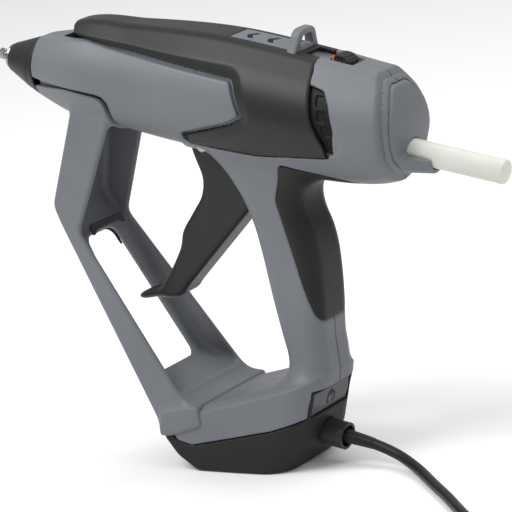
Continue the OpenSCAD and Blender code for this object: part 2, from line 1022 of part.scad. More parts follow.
module foot_screws() {
    color("#9a9da1")
        for (p = foot_screw_places)
            translate([p[0], p[1], 0.4])
                difference() {
                    union() {
                        cylinder(h = 1, r = screw_head_r);
                        cylinder(h = 9, r = screw_shank_r);
                    }
                    translate([0, 0, -1])
                        cylinder(h = 1.6, r = 1.3, $fn = 6);
                }
}

module control_board() {
    color("#2f6b45")
        translate([-8, -12, foot_wall + 2]) {
            cube([28, 24, 1.6]);
            translate([3, 4, 1.6])
                cube([6, 8, 4]);
            translate([15, 8, 1.6])
                cylinder(h = 5, r = 3);
        }
}

module switch_body() {
    color("#1f2021")
        on_rear_face()
            translate([-14, -9, -5])
                cube([11, 18, 10]);
}

module power_rocker() {
    color("#3a3b3d") {
        on_rear_face()
            translate([-rocker_t + 1.6, -rocker_w / 2, -rocker_h / 2])
                cube([rocker_t, rocker_w, rocker_h]);
        rod_y(rocker_pin_r, rocker_w + 2 * rocker_pin_len, rocker_pivot[0], rocker_pivot[1]);
    }
}

loom_r = 1.5;
loom_path = [[16, 0, 28], [20.2, 0, 35], [22, 0, 41.5], [30, 0, 48.5], [33, 0, 51.5], [33, 0, 54],
    [30.2, 0, 62], [30.2, 0, 66], [32, 0, 80], [38.4, 0, 92], [38.6, 0, 104], [35, 0, 118], [34, 0, 134]];

module wire_loom() {
    swept_tube(loom_path, loom_r, "#b8352c");
}

module cable_gland() {
    cord_r = cord_d / 2;
    color("#202121")
        on_gland()
            difference() {
                union() {
                    translate([0, 0, gland_seat])
                        cylinder(h = gland_len - gland_seat, r = gland_d / 2);
                    translate([0, 0, -5])
                        cylinder(h = 6, r = gland_d / 2 - 1.5);
                }
                translate([0, 0, -6])
                    cylinder(h = 30, r = cord_r + fit);
                translate([0, 0, gland_len - 4])
                    cylinder(h = 5, r = gland_d / 2 - 1.3);
            }
}

// ---- power cord ----
// Middle line of the cord from the gland to the coil, and from the coil to the plug
lead_route = [[34, 0, 15], [41, 0, 13.9], [48, 0, 12.6], [58, 0.5, 10.5], [67, 0, 8.2], [77, -2.5, 5.6],
    [90, -10.5, 3.4], [105, -24, 2.6], [120, -38, 2.6], [136, -54, 2.6], [146.9, -63.6, 2.6],
    [161.9, -71.4, 2.6], [178.5, -75.1, 2.7], [195.4, -74.4, 2.9], [211.6, -69.2, 3.1], [230.1, -56.3, 3.4]];
tail_route = [[230.1, 0.3, 8.4], [220.2, 10.2, 8.2], [210.3, 20.1, 7.5], [201.8, 27.9, 6.9], [192.8, 31.8, 6.8],
    [184, 33.5, 6.8]];
coil_at = [201.8, -28];
coil_r = [17.5, 42.5];
coil_h = 10;
tie_t = 0.8;
tie_gap = 1.2;             // room for the coil's curve beside the flat tie
module cord_lead() {
    swept_tube(lead_route, cord_d / 2, "#1d1e1f");
}

module cord_tail() {
    swept_tube(tail_route, cord_d / 2, "#1d1e1f");
}

module cord_coil() {
    color("#1d1e1f")
        translate([coil_at[0], coil_at[1], tie_t])
            rotate_extrude()
                translate([coil_r[0], 0])
                    square([coil_r[1] - coil_r[0], coil_h]);
}

module coil_tie() {
    color("#2a2b2c")
        translate([coil_at[0], coil_at[1], 0])
            rotate([0, 0, 135])
                translate([0, -5, 0])
                    difference() {
                        translate([coil_r[0] - tie_gap - tie_t, 0, 0])
                            cube([coil_r[1] - coil_r[0] + tie_gap + 2 * tie_t + fit, 10, coil_h + 2 * tie_t]);
                        translate([coil_r[0] - tie_gap, -1, tie_t])
                            cube([coil_r[1] - coil_r[0] + tie_gap + fit, 12, coil_h]);
                    }
}

plug_w = 34;
plug_t = 13.6;
plug_len = 36;
plug_at = [184, 33.5];
plug_turn = -8;            // turns the plug so that its pins point past the foot
pin_gap = 19;
contact_r = 2;
contact_len = 19;

module plug_body() {
    color("#1d1e1f")
        translate([plug_at[0], plug_at[1], 0])
            rotate([0, 0, plug_turn])
                linear_extrude(plug_t)
                    polygon([[0, -4], [0, 4], [-12, 10], [-plug_len + 4, plug_w / 2],
                        [-plug_len, plug_w / 2 - 3], [-plug_len, -plug_w / 2 + 3],
                        [-plug_len + 4, -plug_w / 2], [-12, -10]]);
}

module plug_pins() {
    color("#c9ccd0")
        translate([plug_at[0], plug_at[1], 0])
            rotate([0, 0, plug_turn])
                for (y = [-pin_gap / 2, pin_gap / 2])
                    rod_x(contact_r, -plug_len - contact_len, -plug_len, y, plug_t / 2);
}

housing_left();
housing_right();
barrel_cover();
top_inlay();
hanging_loop();
nose_cap();
nozzle();
melt_chamber();
heater_plates();
chamber_clamps();
thermal_fuse();
inlet_sleeve();
stick_guide();
rear_cap();
vent_inserts();
housing_screws();
trigger_pin();
trigger_spring();
handle_grip();
stand_bow();
bow_pad();
base_foot();
foot_screws();
control_board();
switch_body();
wire_loom();
cable_gland();
trigger();
feed_carriage();
clamp_jaw();
glue_stick();
adjuster_knob();
adjuster_band();
power_rocker();
cord_lead();
cord_coil();
coil_tie();
cord_tail();
plug_body();
plug_pins();
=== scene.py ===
# %% [markdown]
# A corded hot-melt glue gun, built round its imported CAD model.
# Everything stands in metres in the model's own frame: +Z up, the nozzle towards -X and the
# origin in the middle of the foot. The shapes below are worked out in millimetres, because
# that is how a moulded tool is drawn, and turned to metres when they become meshes.

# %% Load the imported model
import math

import bmesh
import bpy
import numpy as np
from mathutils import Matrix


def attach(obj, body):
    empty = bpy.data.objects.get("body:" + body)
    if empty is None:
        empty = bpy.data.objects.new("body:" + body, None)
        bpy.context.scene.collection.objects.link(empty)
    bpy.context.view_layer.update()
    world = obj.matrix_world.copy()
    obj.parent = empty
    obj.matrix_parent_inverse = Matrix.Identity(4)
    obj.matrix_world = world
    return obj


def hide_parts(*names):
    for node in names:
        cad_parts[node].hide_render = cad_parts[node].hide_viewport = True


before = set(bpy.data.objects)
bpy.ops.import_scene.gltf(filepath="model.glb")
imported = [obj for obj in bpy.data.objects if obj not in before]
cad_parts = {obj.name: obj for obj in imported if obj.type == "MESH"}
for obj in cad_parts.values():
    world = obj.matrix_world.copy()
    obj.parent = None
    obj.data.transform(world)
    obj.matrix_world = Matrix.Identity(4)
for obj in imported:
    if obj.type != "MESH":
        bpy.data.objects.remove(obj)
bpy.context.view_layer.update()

import openvdb
from mathutils import Matrix, Vector

MM = 0.001

# %% [markdown]
# The camera looks at the gun from its left and from behind, a little from above, and is
# rolled by a few degrees. A long lens keeps the perspective flat, as in a catalogue picture.

# %% Place the camera
VIEW_RIGHT = Vector((0.8392, 0.5327, -0.1097))
VIEW_UP = Vector((-0.0458, 0.2702, 0.9617))
VIEW_BACK = Vector((0.5419, -0.8020, 0.2511))
CAMERA_AT = Vector((0.8543, -1.2541, 0.4907))
LENS_MM = 236.25

lens = bpy.data.cameras.new("camera")
lens.lens = LENS_MM
lens.sensor_width = 36.0
lens.clip_end = 20.0
camera = bpy.data.objects.new("camera", lens)
turn = Matrix((VIEW_RIGHT, VIEW_UP, VIEW_BACK)).transposed()
camera.matrix_world = Matrix.Translation(CAMERA_AT) @ turn.to_4x4()
bpy.context.scene.collection.objects.link(camera)
bpy.context.scene.camera = camera
print("camera at", tuple(round(v, 3) for v in CAMERA_AT))

# %% [markdown]
# Colours are written as the sRGB hex values of the real finish and turned to the linear
# values that the renderer works in by one function. One more function adds a shader node with
# its settings and links, so that each material reads as a short recipe.

# %% Colour and node helpers
def linear(hex_colour, alpha=1.0):
    channels = [int(hex_colour[i:i + 2], 16) / 255 for i in (1, 3, 5)]
    return [c / 12.92 if c <= 0.04045 else ((c + 0.055) / 1.055) ** 2.4 for c in channels] + [alpha]


def add_node(tree, kind, settings=None, **links):
    """Adds a node: settings are its properties, links are socket values or other nodes' outputs."""
    made = tree.nodes.new(kind)
    for name, value in (settings or {}).items():
        setattr(made, name, value)
    for name, value in links.items():
        socket = made.inputs[int(name[1:])] if name[0] == "i" and name[1:].isdigit() else \
            made.inputs[name.replace("_", " ")]
        if isinstance(value, bpy.types.NodeSocket):
            tree.links.new(value, socket)
        else:
            socket.default_value = value
    return made


def new_material(name):
    made = bpy.data.materials.new(name)
    made.use_nodes = True
    made.node_tree.nodes.clear()
    return made, made.node_tree


def finish_material(tree, shader):
    add_node(tree, "ShaderNodeOutputMaterial", Surface=shader.outputs[0])


# %% [markdown]
# A spark-eroded mould gives ABS a fine pitted skin: the pits are about 0.1 mm on the real
# tool, and are drawn at about 0.45 mm here, because finer ones vanish at this picture size.
# Broad patches vary the tone by a percent or two, as flow in the mould does, and convex edges are painted a
# little lighter: a painted highlight where edges catch light.

# %% Moulded plastic with a spark-eroded skin
GRAIN_MM = 0.45
FLOW_MM = 38.0


def eroded_plastic(name, colour, edge_highlight_colour, roughness, pit_depth_mm=0.03, specular=0.5):
    made, tree = new_material(name)
    place = add_node(tree, "ShaderNodeTexCoord")
    grain = add_node(tree, "ShaderNodeTexNoise", Vector=place.outputs["Object"],
                     Scale=1 / (GRAIN_MM * MM), Detail=3.0, Roughness=0.6)
    flow = add_node(tree, "ShaderNodeTexNoise", Vector=place.outputs["Object"],
                    Scale=1 / (FLOW_MM * MM), Detail=2.0, Roughness=0.5)
    tone = add_node(tree, "ShaderNodeValToRGB", Fac=flow.outputs["Fac"])
    base = linear(colour)
    for stop, factor in zip(tone.color_ramp.elements, (0.95, 1.05)):
        stop.color = [c * factor for c in base[:3]] + [1.0]
    tone.color_ramp.elements[0].position, tone.color_ramp.elements[1].position = 0.35, 0.65
    edge = add_node(tree, "ShaderNodeNewGeometry")
    # Convex edges, picked out by pointiness, are mixed towards the second, lighter colour: a painted edge
    # highlight.
    painted_edge_highlight = add_node(tree, "ShaderNodeMapRange", Value=edge.outputs["Pointiness"],
                    From_Min=0.52, From_Max=0.60, To_Min=0.0, To_Max=0.35)
    colour_mix = add_node(tree, "ShaderNodeMix", {"data_type": "RGBA"}, Factor=painted_edge_highlight.outputs[0])
    tree.links.new(tone.outputs["Color"], colour_mix.inputs[6])
    colour_mix.inputs[7].default_value = linear(edge_highlight_colour)
    rough = add_node(tree, "ShaderNodeMapRange", Value=grain.outputs["Fac"],
                     From_Min=0.3, From_Max=0.7, To_Min=roughness - 0.05, To_Max=roughness + 0.06)
    pits = add_node(tree, "ShaderNodeBump", Height=grain.outputs["Fac"], Strength=0.35,
                    Distance=pit_depth_mm * MM)
    shader = add_node(tree, "ShaderNodeBsdfPrincipled", Roughness=rough.outputs[0],
                      Normal=pits.outputs[0], IOR=1.53)
    tree.links.new(colour_mix.outputs[2], shader.inputs["Base Color"])
    shader.inputs["Specular IOR Level"].default_value = specular
    finish_material(tree, shader)
    return made


# The second colour of each plastic is its painted edge highlight.
GREY_ABS = eroded_plastic("grey_abs_spark_eroded", "#676A6F", "#7F8388", 0.5, specular=0.4)
# The rocker is the housing's grey painted darker: painted shade, not a grey of its own.
ROCKER_GREY_PAINTED_SHADE = eroded_plastic("grey_abs_rocker_painted_shade", "#4A4D51", "#62656A", 0.45, specular=0.4)
BLACK_ABS = eroded_plastic("black_abs_spark_eroded", "#1E1F1F", "#3A3B3B", 0.42, specular=0.28)
CONE_PHENOLIC = eroded_plastic("black_phenolic_moulded", "#1B1C1C", "#303131", 0.45, specular=0.28)
VENT_ABS = eroded_plastic("black_abs_vent", "#0E0F0F", "#1E1F1F", 0.5, specular=0.2)
ORANGE_ABS = eroded_plastic("orange_abs_moulded", "#E8722F", "#F09A63", 0.4)
print("plastics ready")

# %% [markdown]
# Overmoulded grip rubber is softer to the eye than the shell: a broad, weak highlight and a
# very fine velvety skin. The sheen comes from dust and fine fibres that rubber holds.

# %% Overmoulded rubber
RUBBER_GRAIN_MM = 0.6


def moulded_rubber(name, colour, roughness, sheen):
    made, tree = new_material(name)
    place = add_node(tree, "ShaderNodeTexCoord")
    skin = add_node(tree, "ShaderNodeTexNoise", Vector=place.outputs["Object"],
                    Scale=1 / (RUBBER_GRAIN_MM * MM), Detail=4.0, Roughness=0.55)
    smear = add_node(tree, "ShaderNodeTexNoise", Vector=place.outputs["Object"],
                     Scale=1 / (22.0 * MM), Detail=3.0)
    tone = add_node(tree, "ShaderNodeValToRGB", Fac=smear.outputs["Fac"])
    base = linear(colour)
    for stop, factor in zip(tone.color_ramp.elements, (0.9, 1.12)):
        stop.color = [c * factor for c in base[:3]] + [1.0]
    tone.color_ramp.elements[0].position, tone.color_ramp.elements[1].position = 0.3, 0.7
    rough = add_node(tree, "ShaderNodeMapRange", Value=smear.outputs["Fac"],
                     From_Min=0.3, From_Max=0.7, To_Min=roughness - 0.06, To_Max=roughness + 0.06)
    bumps = add_node(tree, "ShaderNodeBump", Height=skin.outputs["Fac"], Strength=0.3,
                     Distance=0.03 * MM)
    shader = add_node(tree, "ShaderNodeBsdfPrincipled", Base_Color=tone.outputs["Color"],
                      Roughness=rough.outputs[0], Normal=bumps.outputs[0], IOR=1.52)
    shader.inputs["Specular IOR Level"].default_value = 0.26
    shader.inputs["Sheen Weight"].default_value = sheen
    shader.inputs["Sheen Roughness"].default_value = 0.4
    finish_material(tree, shader)
    return made


GRIP_RUBBER = moulded_rubber("grip_tpe_overmoulded", "#171716", 0.50, 0.04)
FOOT_RUBBER = moulded_rubber("foot_rubber_moulded", "#1B1B1A", 0.55, 0.03)
CORD_RUBBER = moulded_rubber("cord_rubber_jacket", "#161616", 0.44, 0.03)
SILICONE = moulded_rubber("red_silicone_moulded", "#B04A32", 0.4, 0.05)

# %% [markdown]
# Metals keep the default IOR and take their look from roughness: the nozzle is nickel plated and polished,
# with a fine noise of marks on its skin; springs and screws are zinc plated.

# %% Metals
def plated_metal(name, colour, roughness, scratch_mm, depth_mm=0.01):
    made, tree = new_material(name)
    place = add_node(tree, "ShaderNodeTexCoord")
    marks = add_node(tree, "ShaderNodeTexNoise", Vector=place.outputs["Object"],
                     Scale=1 / (scratch_mm * MM), Detail=4.0, Roughness=0.7)
    haze = add_node(tree, "ShaderNodeTexNoise", Vector=place.outputs["Object"],
                    Scale=1 / (4.0 * MM), Detail=2.0)
    tone = add_node(tree, "ShaderNodeValToRGB", Fac=haze.outputs["Fac"])
    base = linear(colour)
    for stop, factor in zip(tone.color_ramp.elements, (0.88, 1.0)):
        stop.color = [c * factor for c in base[:3]] + [1.0]
    rough = add_node(tree, "ShaderNodeMapRange", Value=haze.outputs["Fac"],
                     From_Min=0.3, From_Max=0.7, To_Min=roughness * 0.8, To_Max=roughness * 1.3)
    bumps = add_node(tree, "ShaderNodeBump", Height=marks.outputs["Fac"], Strength=0.25,
                     Distance=depth_mm * MM)
    shader = add_node(tree, "ShaderNodeBsdfPrincipled", Base_Color=tone.outputs["Color"],
                      Roughness=rough.outputs[0], Normal=bumps.outputs[0], Metallic=1.0)
    finish_material(tree, shader)
    return made


NICKEL = plated_metal("nickel_plated_polished", "#9A9B9D", 0.22, 0.3)
ZINC = plated_metal("zinc_plated_steel", "#A9ACB0", 0.34, 0.4)
CAST_ALUMINIUM = plated_metal("aluminium_die_cast", "#B4B6B8", 0.5, 0.6, 0.04)
BRASS = plated_metal("brass_stamped", "#B99552", 0.3, 0.4)

# %% [markdown]
# The glue stick is cast EVA: milky, a little see-through, with a smooth skin and faint flow
# bands. Light that goes in comes out a few millimetres on, which softens its shading.

# %% Hot-melt glue, ceramic, circuit board and hook-and-loop tape
def plain_finish(name, colour, roughness, pattern_mm, variation, depth_mm=0.02, scatter=0.0):
    made, tree = new_material(name)
    place = add_node(tree, "ShaderNodeTexCoord")
    pattern = add_node(tree, "ShaderNodeTexNoise", Vector=place.outputs["Object"],
                       Scale=1 / (pattern_mm * MM), Detail=3.0)
    tone = add_node(tree, "ShaderNodeValToRGB", Fac=pattern.outputs["Fac"])
    base = linear(colour)
    for stop, factor in zip(tone.color_ramp.elements, (1 - variation, 1 + variation)):
        stop.color = [min(1.0, c * factor) for c in base[:3]] + [1.0]
    tone.color_ramp.elements[0].position, tone.color_ramp.elements[1].position = 0.35, 0.65
    rough = add_node(tree, "ShaderNodeMapRange", Value=pattern.outputs["Fac"],
                     From_Min=0.3, From_Max=0.7, To_Min=roughness - 0.05, To_Max=roughness + 0.05)
    bumps = add_node(tree, "ShaderNodeBump", Height=pattern.outputs["Fac"], Strength=0.2,
                     Distance=depth_mm * MM)
    shader = add_node(tree, "ShaderNodeBsdfPrincipled", Base_Color=tone.outputs["Color"],
                      Roughness=rough.outputs[0], Normal=bumps.outputs[0], IOR=1.49)
    shader.inputs["Subsurface Weight"].default_value = scatter
    shader.inputs["Subsurface Scale"].default_value = 0.004
    finish_material(tree, shader)
    return made


HOT_MELT = plain_finish("eva_hot_melt_cast", "#CFD0C9", 0.42, 7.0, 0.03, 0.05, 0.25)
CERAMIC = plain_finish("steatite_ceramic_fired", "#D8D2C2", 0.6, 0.8, 0.06)
BOARD = plain_finish("circuit_board_solder_resist", "#1F6B3C", 0.35, 1.5, 0.1)
WIRE = plain_finish("wire_silicone_insulated", "#A3342B", 0.4, 2.0, 0.08)
TAPE = plain_finish("tie_hook_and_loop_woven", "#2A2A2B", 0.85, 0.7, 0.3, 0.12)
print("materials ready:", len(bpy.data.materials))

# %% [markdown]
# Smooth curves through a few points: a Catmull-Rom curve passes through every point it is
# given, so a cord's route or an outline needs only the points that shape it.

# %% Curves through points
def curve_through(points, per_span, closed=False):
    pts = [Vector(p) for p in points]
    count = len(pts)
    made = []
    for i in range(count if closed else count - 1):
        a = pts[(i - 1) % count] if closed or i > 0 else 2 * pts[0] - pts[1]
        b, c = pts[i], pts[(i + 1) % count]
        d = pts[(i + 2) % count] if closed or i < count - 2 else 2 * pts[-1] - pts[-2]
        for s in range(per_span):
            t = s / per_span
            made.append(0.5 * (2 * b + (c - a) * t + (2 * a - 5 * b + 4 * c - d) * t * t
                               + (3 * b - a - 3 * c + d) * t ** 3))
    return made if closed else made + [pts[-1]]


# %% [markdown]
# The cord is a rubber-jacketed mains lead, 5 mm thick. It leaves the gland at the back of the
# foot, sags to the bench within ten diameters and runs off towards the viewer. What lies
# out of view is wound as it would be for storage: two layers of about four turns, with the
# next turn beside the last one and the upper layer on the lower, held by a tie.
# It is one curve object with a round bevel, so its length stays a true length.

# %% The mains lead: route, coil and tail
CORD_D = 5.0
LEAD_ROUTE = [[48, 0, 12.6], [58, 0.5, 10.5], [67, 0, 8.2], [77, -2.5, 5.6], [90, -10.5, 3.4],
              [105, -24, 2.6], [120, -38, 2.6], [136, -54, 2.6], [146.9, -63.6, 2.6],
              [161.9, -71.4, 2.6], [178.5, -75.1, 2.7], [195.4, -74.4, 2.9], [211.6, -69.2, 3.1],
              [230.1, -56.3, 3.4]]
TAIL_ROUTE = [[220.2, 10.2, 8.2], [210.3, 20.1, 7.5], [201.8, 27.9, 6.9], [192.8, 31.8, 6.8],
              [184, 33.5, 6.8]]
COIL_CENTRE = (201.8, -28.0)
COIL_OUTER = 40.0
COIL_START = math.radians(-45)
PITCH = 5.05
TURN_POINTS = 16


def coil_points():
    """Two flat spirals: inwards along the floor, then outwards on top."""
    made = []
    floor_z, top_z = 3.4, 8.4
    turns = 4.0
    steps = int(turns * TURN_POINTS)
    for i in range(1, steps + 1):
        t = i / TURN_POINTS
        made.append((COIL_OUTER - PITCH * max(0.0, t - 0.1), COIL_START + 2 * math.pi * t, floor_z))
    rise = TURN_POINTS // 2
    inner = made[-1][0]
    start = made[-1][1]
    for i in range(1, rise + 1):
        made.append((inner - 0.6 * math.sin(math.pi * i / rise), start + 2 * math.pi * i / TURN_POINTS,
                     floor_z + (top_z - floor_z) * (0.5 - 0.5 * math.cos(math.pi * i / rise))))
    start = made[-1][1]
    back = int(3.75 * TURN_POINTS)
    for i in range(1, back + 1):
        t = i / TURN_POINTS
        made.append((inner + (COIL_OUTER - inner) * min(1.0, t / (back / TURN_POINTS)),
                     start + 2 * math.pi * t, top_z))
    return [[COIL_CENTRE[0] + r * math.cos(a), COIL_CENTRE[1] + r * math.sin(a), z]
            for r, a, z in made]


lead_line = [[41, 0, 13.9]] + LEAD_ROUTE
cord_points = lead_line[:-1] + [LEAD_ROUTE[-1]] + coil_points() + TAIL_ROUTE
cord_line = curve_through([[c * MM for c in p] for p in cord_points], 4)


def curve_object(name, points, radius, material):
    data = bpy.data.curves.new(name, "CURVE")
    data.dimensions = "3D"
    data.bevel_depth = radius
    data.bevel_resolution = 6
    data.use_fill_caps = True
    spline = data.splines.new("POLY")
    spline.points.add(len(points) - 1)
    for point, place in zip(spline.points, points):
        point.co = (*place, 1.0)
    spline.use_smooth = True
    made = bpy.data.objects.new(name, data)
    bpy.context.scene.collection.objects.link(made)
    data.materials.append(material)
    return made


mains_lead = curve_object("mains_lead", cord_line, CORD_D / 2 * MM, CORD_RUBBER)
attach(mains_lead, "body")
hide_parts("cord_lead", "cord_coil", "cord_tail")


# %% [markdown]
# A moulded shell is one skin with soft changes of direction, and its neighbours meet it in
# fine seams. Boxes and bevels don't give that, and sculpting isn't repeatable. So each shell is
# a distance field: a block of numbers that say how far each sample point is from the surface.
# Fields are joined with a fillet, cut with a rounded edge and inset by a wall by plain sums,
# and the zero surface is meshed by OpenVDB, which comes with Blender. Both halves of the gun
# match, so only the half with y >= 0 is worked out, and it is mirrored before meshing.

# %% Distance-field helpers
TILT = math.radians(10.5)
INLET = (100.0, 151.0)


class Block:
    """Sample points, in mm, round one piece. bx and bz are the barrel's own axes."""

    def __init__(self, low, high, step):
        self.step = step
        count_y = int(math.ceil(high[1] / step)) + 2
        self.low = np.array((low[0], -(count_y - 1) * step, low[2]))
        self.x = (low[0] + step * np.arange(int((high[0] - low[0]) / step) + 2)).astype(np.float32)
        self.z = (low[2] + step * np.arange(int((high[2] - low[2]) / step) + 2)).astype(np.float32)
        self.y = (step * np.arange(count_y)).astype(np.float32)[None, :, None]
        self.x, self.z = self.x[:, None, None], self.z[None, None, :]
        dx, dz = self.x - INLET[0], self.z - INLET[1]
        self.bx = dx * math.cos(TILT) - dz * math.sin(TILT)
        self.bz = dx * math.sin(TILT) + dz * math.cos(TILT)
        self.radial = np.sqrt(self.y ** 2 + self.bz ** 2)


def join(a, b, fillet):
    """Union of two fields, with a fillet of about that size, in mm."""
    mix = np.maximum(fillet - np.abs(a - b), 0) / fillet
    return np.minimum(a, b) - mix * mix * fillet / 4


def soft_cut(a, b, edge):
    """What is inside both fields, with an edge softened over that width."""
    return -join(-a, -b, edge)


def meet(a, b, radius):
    """What is inside both fields, with a true round edge of that radius."""
    return np.minimum(np.maximum(a, b), -radius) + np.sqrt(
        np.maximum(a + radius, 0) ** 2 + np.maximum(b + radius, 0) ** 2)


def cut_out(a, tool, edge=0.5):
    return soft_cut(a, -tool, edge)


def outline(points, u, v):
    """Distance to a closed outline in one plane, negative inside."""
    far = np.full(np.broadcast(u, v).shape, 1e9, np.float32)
    inside = np.zeros(far.shape, bool)
    for a, b in zip(points, points[1:] + points[:1]):
        ex, ey = b[0] - a[0], b[1] - a[1]
        wx, wy = u - a[0], v - a[1]
        along = np.clip((wx * ex + wy * ey) / (ex * ex + ey * ey + 1e-9), 0, 1)
        far = np.minimum(far, (wx - ex * along) ** 2 + (wy - ey * along) ** 2)
        if abs(ey) > 1e-9:
            inside ^= ((a[1] > v) != (b[1] > v)) & (u < a[0] + ex * (v - a[1]) / ey)
    return np.where(inside, -np.sqrt(far), np.sqrt(far))


def rounded(points, radius):
    """The outline with each corner taken back by radius and bridged by a short curve."""
    made = []
    for i, here in enumerate(points):
        p, before, after = Vector(here), Vector(points[i - 1]), Vector(points[(i + 1) % len(points)])
        reach_in = min(radius, (before - p).length * 0.45)
        reach_out = min(radius, (after - p).length * 0.45)
        start = p + (before - p).normalized() * reach_in
        end = p + (after - p).normalized() * reach_out
        for t in (0.0, 0.33, 0.67, 1.0):
            made.append(tuple((1 - t) ** 2 * start + 2 * t * (1 - t) * p + t * t * end))
    return made


def smooth_through(xs, ys, at):
    """A smooth function through the points (xs, ys), with no overshoot to speak of."""
    xs, ys = np.array(xs, float), np.array(ys, float)
    slopes = np.gradient(ys, xs)
    at = np.clip(at, xs[0], xs[-1])
    i = np.clip(np.searchsorted(xs, at) - 1, 0, len(xs) - 2)
    width = xs[i + 1] - xs[i]
    t = (at - xs[i]) / width
    made = ((2 * t ** 3 - 3 * t * t + 1) * ys[i] + (t ** 3 - 2 * t * t + t) * width * slopes[i]
            + (3 * t * t - 2 * t ** 3) * ys[i + 1] + (t ** 3 - t * t) * width * slopes[i + 1])
    return made.astype(np.float32)


def shade(made, angle=38.0):
    """Smooth shading up to an angle, so that true edges stay edges."""
    made.data.shade_smooth()
    made.data.set_sharp_from_angle(angle=math.radians(angle))


def shell_from(name, field, block, material, body, nodes, whole=False, angle=38.0):
    """Meshes a field, puts it in the gun and hides the CAD parts it stands for."""
    full = field if whole else np.concatenate((field[:, :0:-1], field), axis=1)
    band = 3 * block.step
    grid = openvdb.FloatGrid(background=band)
    grid.copyFromArray(np.ascontiguousarray(np.clip(full, -band, band), np.float32), tolerance=0.0)
    points, quads = grid.convertToQuads(isovalue=0.0)
    points = (points * block.step + block.low) * MM
    data = bpy.data.meshes.new(name)
    data.vertices.add(len(points))
    data.vertices.foreach_set("co", points.astype(np.float32).ravel())
    data.loops.add(len(quads) * 4)
    data.loops.foreach_set("vertex_index", quads[:, ::-1].astype(np.int32).ravel())
    data.polygons.add(len(quads))
    data.polygons.foreach_set("loop_start", np.arange(0, len(quads) * 4, 4, dtype=np.int32))
    data.update(calc_edges=True)
    data.validate()
    made = bpy.data.objects.new(name, data)
    bpy.context.scene.collection.objects.link(made)
    data.materials.append(material)
    shade(made, angle)
    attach(made, body)
    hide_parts(*nodes)
    print("%s: %d faces" % (name, len(quads)))
    return made


def both_halves(field):
    """A field sampled on one side of the middle plane, mirrored to cover both."""
    return np.concatenate((field[:, :0:-1], field), axis=1)


# %% [markdown]
# The barrel is drawn by stations along the glue stick's axis: how far its top, underside,
# sides and slanted faces stand from that axis. The top is a crisp flat strip, the flanks
# roll into each other, and the front narrows to the round nose.

# %% The barrel's outer form
STATIONS = {
    "x": [-206, -184, -150, -100, -60, -30, -10, -2],
    "top": [13.2, 26.3, 31.6, 36.4, 36.2, 35.2, 34.1, 32.4],
    "under": [13.8, 20.6, 22.0, 22.6, 22.8, 21.0, 16.6, 13.0],
    "side": [13.6, 21.0, 25.8, 28.5, 28.5, 27.0, 24.0, 22.0],
    "upper": [13.8, 23.2, 28.3, 33.4, 33.2, 32.0, 30.4, 29.0],
    "lower": [13.8, 19.2, 22.3, 24.0, 24.0, 22.4, 18.6, 15.6]}


def barrel_form(b):
    def wall(distance, face):
        reach = smooth_through(STATIONS["x"], STATIONS[face], b.bx)
        ahead = smooth_through(STATIONS["x"], STATIONS[face], b.bx + 1.0)
        return (distance - reach) / np.sqrt(1 + (ahead - reach) ** 2)

    softness = 0.34 * smooth_through(STATIONS["x"], STATIONS["side"], b.bx)
    form = soft_cut(wall(b.y, "side"), wall((b.y + b.bz) * math.sqrt(0.5), "upper"), softness)
    form = soft_cut(form, wall((b.y - b.bz) * math.sqrt(0.5), "lower"), softness * 1.2)
    form = soft_cut(form, wall(-b.bz, "under"), softness)
    return soft_cut(form, wall(b.bz, "top"), 2.2)


def nose_plane(b):
    """The slightly slanted joint between the housing and the nose cone."""
    return (-202.2 - 0.15 * b.bz) - b.bx


def rear_depth(b):
    """Distance behind the domed rear end: the face curves away to the sides and to the top."""
    return b.bx + 1.2 + b.y ** 2 / 170 + np.maximum(b.bz - 6, 0) ** 2 / 66


HANDLE_REAR = [(42, 34), (45.2, 46), (46.6, 53), (46.0, 62), (46.9, 74), (47.6, 88), (47.4, 102),
               (45.6, 113), (42.4, 122), (42.0, 130), (45.6, 138), (54, 148)]
HANDLE_FRONT = [(4, 162), (-1, 151), (2, 142), (9.5, 129.5), (14.6, 116), (17.6, 100), (20.2, 82),
                (23.4, 64), (25.2, 54), (24.0, 44), (18, 34)]
HANDLE_HALF = 15.5


def handle_form(b):
    side = curve_through([(x, z, 0) for x, z in HANDLE_REAR], 3)[:-1] + [Vector((54, 148, 0))] + \
        curve_through([(x, z, 0) for x, z in HANDLE_FRONT], 3)
    flank = outline([(p[0], p[1]) for p in side], b.x, b.z)
    return meet(flank, b.y - HANDLE_HALF, 8.5)


def base_plan(b):
    """The base seen from above: it narrows towards the rear, and its rear corners are round."""
    half = np.interp(b.x, [-38, 0, 44], [31, 28.6, 24.0]).astype(np.float32)
    rear_x = np.interp(b.z, [0, 15, 38, 50], [27, 36, 43, 45.4]).astype(np.float32)
    return meet((b.y - half) * 0.99, (b.x - rear_x) * 0.95, 13.0)


def base_chamfer(b, plan):
    """The sloping border between the base's walls and its top."""
    return (b.z - (32.7 + 0.265 * b.x) + 0.55 * plan) / 1.17


BASE_SIDE = [(-31, 18.3), (-28.5, 14.8), (-21.4, 12.8), (21.4, 21.5), (39, 27), (52, 27.5),
             (52, 50.2), (45, 48.2), (-16.2, 30.8), (-15.5, 23.2)]


def base_form(b):
    plan = base_plan(b)
    side = outline(BASE_SIDE, b.x, b.z)
    return soft_cut(soft_cut(plan, side, 0.8), base_chamfer(b, plan), 0.8)


def body_form(b):
    """Barrel, handle and base in one skin, with the fillets of the moulding."""
    barrel = soft_cut(barrel_form(b), nose_plane(b), 0.6)
    return join(join(barrel, handle_form(b), 9.0), base_form(b), 8.0), barrel


# %% [markdown]
# Seams, from the side, in the barrel's axes: the black cover lies over the barrel and is open
# round the grey side panel; the collar of the stand bow wraps the underside at the front.

